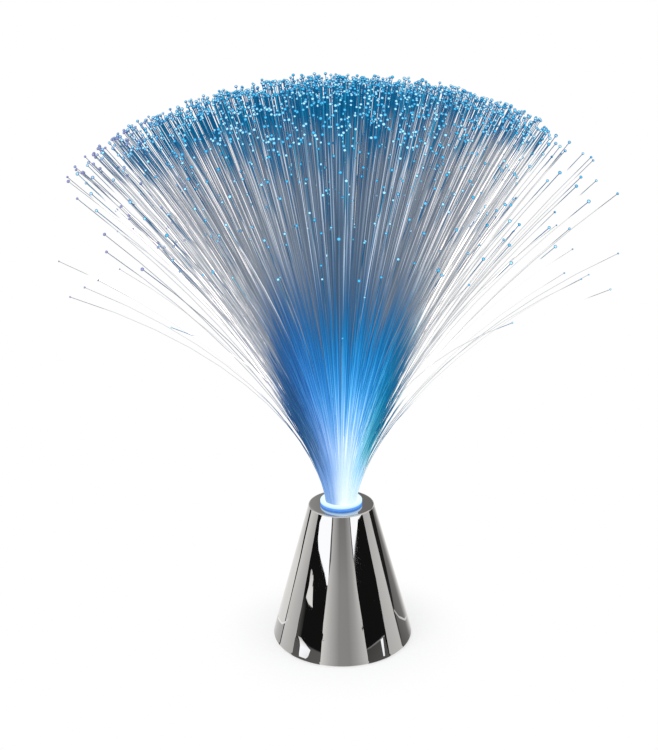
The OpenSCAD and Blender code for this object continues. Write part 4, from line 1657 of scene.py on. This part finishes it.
@dataclass(frozen=True)
class Card:
    """Studio card placed where the cone's side mirrors it to the camera between given edges.

    Each row runs from one edge to the other: turn and height on the cone at both ends, then the
    card's shade at both. Turns are from the camera's side in degrees, heights in millimetres.
    """

    name: str
    rows: tuple[tuple[float, float, float, float, float, float], ...]
    layer: int = 0


@dataclass(frozen=True)
class CardSet:
    """The cards round the cone, laid on the floor and stood up further out.

    A card in a higher layer stands a little in front of the ones below it.
    """

    viewed_from: Vector
    foot_r: float
    slope: float
    straight_from: float = 2.52 * MM
    tuck: float = 2.4 * MM
    wall: float = 1.4
    layer_gap: float = 0.006
    layer_lift: float = 0.05 * MM
    step: float = 3.0

    def spot(self, turn: float, height: float, layer: int) -> Vector:
        """Finds where the mirrored ray from a spot on the cone meets the floor or the wall.

        Args:
            turn: place round the cone, in degrees.
            height: place up the cone, in millimetres.
            layer: the card's layer.

        Returns:
            The point; a spot at the foot gives a point on the floor under the cone's edge.
        """
        angle = math.radians(turn)
        out = Vector((math.sin(angle), -math.cos(angle), 0))
        lift = self.layer_lift * (layer + 1)
        if height <= 0:
            return out * (self.foot_r - self.tuck) + Vector((0, 0, lift))
        z = height * MM
        radius = self.foot_r - max(z - self.straight_from, 0) * self.slope
        place = out * radius + Vector((0, 0, z))
        normal = (out + Vector((0, 0, self.slope))).normalized()
        view = (place - self.viewed_from).normalized()
        ray = view - 2 * view.dot(normal) * normal
        flat = math.hypot(ray.x, ray.y)
        reach = self.wall / flat
        if ray.z < 0:
            reach = min(reach, z / -ray.z)
        spot = place + ray * reach * (1 - self.layer_gap * (layer + 1))
        return Vector((spot.x, spot.y, max(spot.z, lift)))

    def build(self, card: Card) -> None:
        """Builds one card as a fine grid.

        Args:
            card: the card.
        """
        rows = []
        for low, high in zip(card.rows, card.rows[1:]):
            far = max(abs(high[k] - low[k]) for k in range(4))
            count = max(1, math.ceil(far / self.step))
            rows += [[a + (b - a) * k / count for a, b in zip(low, high)] for k in range(count)]
        rows.append(card.rows[-1])
        across = max(1, math.ceil(max(abs(r[2] - r[0]) for r in rows) / self.step))
        verts, shades = [], []
        for t0, z0, t1, z1, s0, s1 in rows:
            for k in range(across + 1):
                share = k / across
                verts.append(self.spot(t0 + (t1 - t0) * share, z0 + (z1 - z0) * share, card.layer))
                shades.append(s0 + (s1 - s0) * share)
        wide = across + 1
        faces = [(j * wide + k, j * wide + k + 1, (j + 1) * wide + k + 1, (j + 1) * wide + k)
                 for j in range(len(rows) - 1) for k in range(across)]
        mirror_card(card.name, verts, shades, faces)


BLACK, WHITE = 0.01, 1.75
CARDS = (
    Card("card_left_edge", (
        (-90, 0, -64, 0, 0.9, 0.6), (-90, 12, -64, 14, 0.85, 0.6),
        (-90, 12.5, -64, 14.5, 1.0, 1.1), (-90, 50, -64, 50, 1.0, 1.15),
        (-90, 66, -64, 66, 1.1, 0.85), (-90, 83, -64, 83, 1.1, 0.6)), 1),
    Card("card_left_grey", (
        (-64, 0, -46, 0, 0.9, 0.7), (-64, 16, -46, 16, 0.95, 0.7),
        (-64, 30, -44.8, 30, 0.95, 0.66), (-64, 48, -44.8, 48, 1.0, 0.66),
        (-64, 83, -44.2, 83, 1.05, 0.72)), 1),
    Card("card_left_black", (
        (-46, 0, -17, 0, BLACK, BLACK), (-44, 83, -15, 83, BLACK, BLACK))),
    Card("card_middle_left", (
        (-19, 0, -11, 0, 1.05, 0.68), (-18.7, 24, -11, 24, 1.05, 0.68),
        (-16.8, 45, -11, 45, 0.95, 0.68), (-16.4, 83, -11, 83, 0.85, 0.62)), 1),
    Card("card_middle_dim_left", (
        (-11, 0, -4, 0, 0.68, 0.43), (-11, 45, -4, 45, 0.68, 0.43),
        (-11, 83, -4, 83, 0.62, 0.29)), 1),
    Card("card_middle_dim", (
        (-4, 0, 5, 0, 0.42, 0.40), (-4, 45, 5, 45, 0.41, 0.40), (-4, 83, 5, 83, 0.29, 0.29)), 1),
    Card("card_middle_dim_right", (
        (5, 0, 11, 0, 0.40, 0.56), (5, 45, 11, 45, 0.40, 0.56), (5, 83, 11, 83, 0.29, 0.52)), 1),
    Card("card_middle_right", (
        (11, 0, 20.5, 0, 0.56, 0.9), (11, 24, 18.3, 24, 0.56, 0.88), (11, 45, 15.8, 45, 0.56, 0.9),
        (11, 83, 13.5, 83, 0.52, 0.6)), 1),
    Card("card_right_black", (
        (18, 0, 40.5, 0, BLACK, BLACK), (15, 45, 41.4, 45, BLACK, BLACK),
        (12.5, 83, 38.8, 83, BLACK, BLACK))),
    Card("card_right_grey", (
        (40.5, 0, 58.2, 0, 0.72, 0.86), (41.4, 45, 56.5, 45, 0.78, 0.9),
        (38.8, 83, 55.6, 83, 0.7, 0.8)), 1),
    Card("card_right_thin", (
        (57, 0, 59, 0, 0.15, 0.15), (56.5, 22, 58.6, 22, 0.04, 0.04), (56, 45, 63, 45, 0.02, 0.02),
        (55, 83, 68, 83, 0.02, 0.02)), 2),
    Card("card_right_dark", (
        (58, 0, 72, 0, 0.15, 0.22), (58.6, 22, 72, 22, 0.2, 0.26), (63, 45, 72, 45, 0.22, 0.28),
        (68, 83, 72, 83, 0.22, 0.3)), 1),
    Card("card_right_edge", (
        (72, 0, 90, 0, 0.22, 1.1), (72, 45, 90, 45, 0.28, 1.15), (72, 83, 90, 83, 0.3, 1.2)), 1),
    Card("card_left_line", (
        (-65.4, 0, -63.9, 0, 0.05, 0.05), (-65.4, 30, -63.9, 30, 0.03, 0.03),
        (-66, 54, -63.3, 54, BLACK, BLACK), (-68, 66, -64.0, 66, BLACK, BLACK),
        (-69.6, 83, -64.3, 83, BLACK, BLACK)), 2),
    Card("card_left_haze", (
        (-45.6, 10, -40, 10, 0.13, 0.05), (-44.6, 30, -39, 30, 0.1, BLACK),
        (-44.6, 36, -40, 36, 0.03, BLACK)), 2),
    Card("card_left_white", (
        (-17.9, 45, -16.8, 45, WHITE, WHITE), (-21.5, 51, -16.5, 51, WHITE, WHITE),
        (-27.9, 57.5, -16.5, 57.5, WHITE, WHITE), (-33.7, 63, -16.5, 63, WHITE, WHITE),
        (-37, 69, -16.5, 69, WHITE, WHITE), (-38.3, 77, -16.5, 77, WHITE, WHITE),
        (-35, 83, -16.5, 83, WHITE, WHITE)), 2),
    Card("card_left_gap", (
        (-16.3, 50, -15.9, 50, 0.2, 0.2), (-16.5, 58, -14.5, 58, 0.1, 0.2),
        (-16.5, 83, -14.3, 83, 0.1, 0.2)), 3),
    Card("card_left_patch", (
        (-32.4, 31.3, -31.4, 31.5, 1.2, 1.2), (-37.1, 32.6, -32, 32.6, 1.25, 1.25),
        (-41.2, 35.5, -32.7, 35.5, 1.25, 1.25), (-39.8, 42, -34.2, 42, 1.2, 1.2),
        (-40.2, 48.6, -36, 48.6, 1.0, 1.0), (-40.4, 51.3, -39.4, 51.3, 0.8, 0.8)), 3),
    Card("card_right_white", (
        (14.9, 60.5, 15.4, 60.5, WHITE, WHITE), (14.6, 66, 18.3, 66, WHITE, WHITE),
        (14.4, 72, 22.8, 72, WHITE, WHITE), (14.2, 77.5, 26.4, 77.5, WHITE, WHITE),
        (14.2, 80, 27.8, 80, WHITE, WHITE), (14, 83, 36, 83, WHITE, WHITE)), 2),
    Card("card_right_gap", (
        (14.2, 57, 14.7, 57, 0.2, 0.1), (13.4, 64, 14.5, 64, 0.15, 0.05),
        (13.2, 83, 14.3, 83, 0.15, 0.05)), 3),
    Card("card_low_left", (
        (-46, 0, -19, 0, 0.16, 0.16), (-46, 11.5, -19, 7.5, 0.14, 0.16),
        (-45, 13, -19.5, 8.5, 0.03, BLACK)), 2),
    Card("card_low_right", (
        (20, 0, 40, 0, 0.1, 0.14), (20, 9, 38.7, 13, 0.08, 0.12), (20, 9.6, 38.7, 13.6, 0.3, 0.5),
        (20, 10.2, 38.7, 14.2, 0.02, 0.02)), 2),
    Card("card_low_left_white", (
        (-38.3, 1.2, -33.5, 1.2, 1.6, 1.6), (-39, 4, -30, 4, 1.7, 1.4),
        (-39.2, 8.5, -28.6, 8.0, WHITE, 1.6), (-40.4, 11.2, -33.5, 10.4, 1.4, 1.3),
        (-43, 13.2, -39.5, 13, 0.7, 0.9)), 3),
    Card("card_low_right_white", (
        (34.2, 2.6, 35.8, 2.6, 1.5, 1.5), (34.0, 12.4, 36.6, 12.8, 1.7, 1.7)), 3),
    Card("card_left_curl", (
        (-60, 18.2, -60, 19.4, 1.1, 1.1), (-64, 15, -64, 16.2, 1.2, 1.2),
        (-69.5, 12.6, -69.5, 13.8, 1.3, 1.3), (-84, 11.4, -84, 12.6, 1.2, 1.2)), 3),
    Card("card_right_curl", (
        (57.6, 23, 57.6, 24.6, 0.7, 0.7), (63.4, 17.2, 63.4, 18.7, 0.85, 0.85),
        (73.7, 12.4, 73.7, 13.8, 0.9, 0.9), (86, 11.4, 86, 12.6, 0.8, 0.8)), 3),
)


@dataclass
class Studio:
    """Camera, pale floor, soft light, white surroundings and what the chrome mirrors."""

    camera_at: tuple[float, float, float] = (-0.0059, -0.6626, 0.3795)
    camera_pitch: float = 18.47
    camera_roll: float = -0.8
    focal: float = 61.44
    film_height: float = 36.0
    near_clip: float = 0.01
    floor_r: float = 3.0
    floor_sides: int = 48
    lit_r: float = 0.034
    faded_r: float = 0.080
    foot_white: float = 0.60
    world_light: float = 0.62
    cone_slope: float = 0.271875
    aim: tuple[float, float, float] = (0.0, 0.0, 0.1)
    light_size: float = 1.2
    lights: tuple[tuple[str, tuple[float, float, float], float], ...] = (
        ("key", (-0.7, -0.7, 1.3), 9.0),
        ("fill", (1.0, -0.4, 0.9), 4.0),
    )

    def build(self) -> None:
        """Builds the whole studio."""
        self.build_camera()
        floor = lathe("floor", [(self.floor_r, 0.0), (0, 0.0)], self.floor_sides,
                      self.floor_material())
        floor.data.flip_normals()
        self.build_world()
        for name, place, watts in self.lights:
            self.build_light(name, place, watts)
        cards = CardSet(Vector(self.camera_at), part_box("base_shell")[1].x, self.cone_slope)
        for card in CARDS:
            cards.build(card)
        Screen("screen_back", ((120, 0.24), (178.5, 0.24), (181, 0.34), (183, 0.5), (240, 0.5)),
               1.2, 0.22, 2.2, 1.0).build()

    def build_camera(self) -> None:
        """Places the camera at the photograph's viewing angle."""
        data = bpy.data.cameras.new("camera")
        data.sensor_fit = "VERTICAL"
        data.sensor_height = self.film_height
        data.lens = self.focal
        data.clip_start = self.near_clip
        camera = link("camera", data)
        camera.location = self.camera_at
        pitched = Matrix.Rotation(math.radians(90 - self.camera_pitch), 3, "X")
        rolled = Matrix.Rotation(math.radians(self.camera_roll), 3, "Z")
        camera.rotation_euler = (pitched @ rolled).to_euler()
        bpy.context.scene.camera = camera

    @staticmethod
    def background_rays(g: Graph) -> Socket:
        """Finds the rays that show the background: from the camera, a mirror or glass.

        Args:
            g: the tree of a material or world.

        Returns:
            1 for such rays and 0 for others.
        """
        path = g.add("ShaderNodeLightPath").outputs
        seen = g.math("MAXIMUM", path["Is Camera Ray"], path["Is Glossy Ray"])
        return g.math("MAXIMUM", seen, path["Is Transmission Ray"])

    def floor_material(self) -> Material:
        """Builds the floor's material: lit and shaded near the lamp, plain white further out.

        Returns:
            The material.
        """
        material = bpy.data.materials.new("floor")
        g = blank(material)
        far = g.ramp(g.radius(), self.lit_r, self.faded_r, self.foot_white, 1.0)
        white = g.times(far, self.background_rays(g))
        paper = g.value("ShaderNodeBsdfDiffuse", {"Color": (0.98, 0.98, 0.98, 1)})
        glow = g.value("ShaderNodeEmission", {"Color": (1, 1, 1, 1), "Strength": 1.0})
        mix = g.value("ShaderNodeMixShader", {0: white, 1: paper, 2: glow})
        g.add("ShaderNodeOutputMaterial", {"Surface": mix})
        return material

    def build_world(self) -> None:
        """Makes the surroundings white to look at and softer as a light."""
        world = bpy.data.worlds.new("studio")
        bpy.context.scene.world = world
        g = blank(world)
        level = g.ramp(self.background_rays(g), 0, 1, self.world_light, 1.0)
        back = g.value("ShaderNodeBackground", {"Color": (1, 1, 1, 1), "Strength": level})
        g.add("ShaderNodeOutputWorld", {"Surface": back})

    def build_light(self, name: str, place: tuple[float, float, float], watts: float) -> None:
        """Hangs a large soft light that shines on the lamp.

        Args:
            name: the light's name.
            place: where it hangs.
            watts: its power.
        """
        data = bpy.data.lights.new(name, "AREA")
        data.shape = "DISK"
        data.size = self.light_size
        data.energy = watts
        light = link(name, data)
        light.location = place
        way = Vector(self.aim) - Vector(place)
        light.rotation_euler = way.to_track_quat("-Z", "Y").to_euler()
        light.visible_glossy = False
        light.visible_camera = False


def main() -> None:
    """Builds the studio and every sub-assembly, in order."""
    logging.basicConfig(level=logging.INFO, format="%(name)s: %(message)s")
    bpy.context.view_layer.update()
    for part in (Studio(), Base(), BatteryBay(), SlideSwitch(), LightUnit(), Wiring(), FibreUnit()):
        LOG.info("building %s", type(part).__name__)
        part.build()
    scene = bpy.context.scene
    scene.view_settings.view_transform = "Standard"


if __name__ == "__main__":
    main()
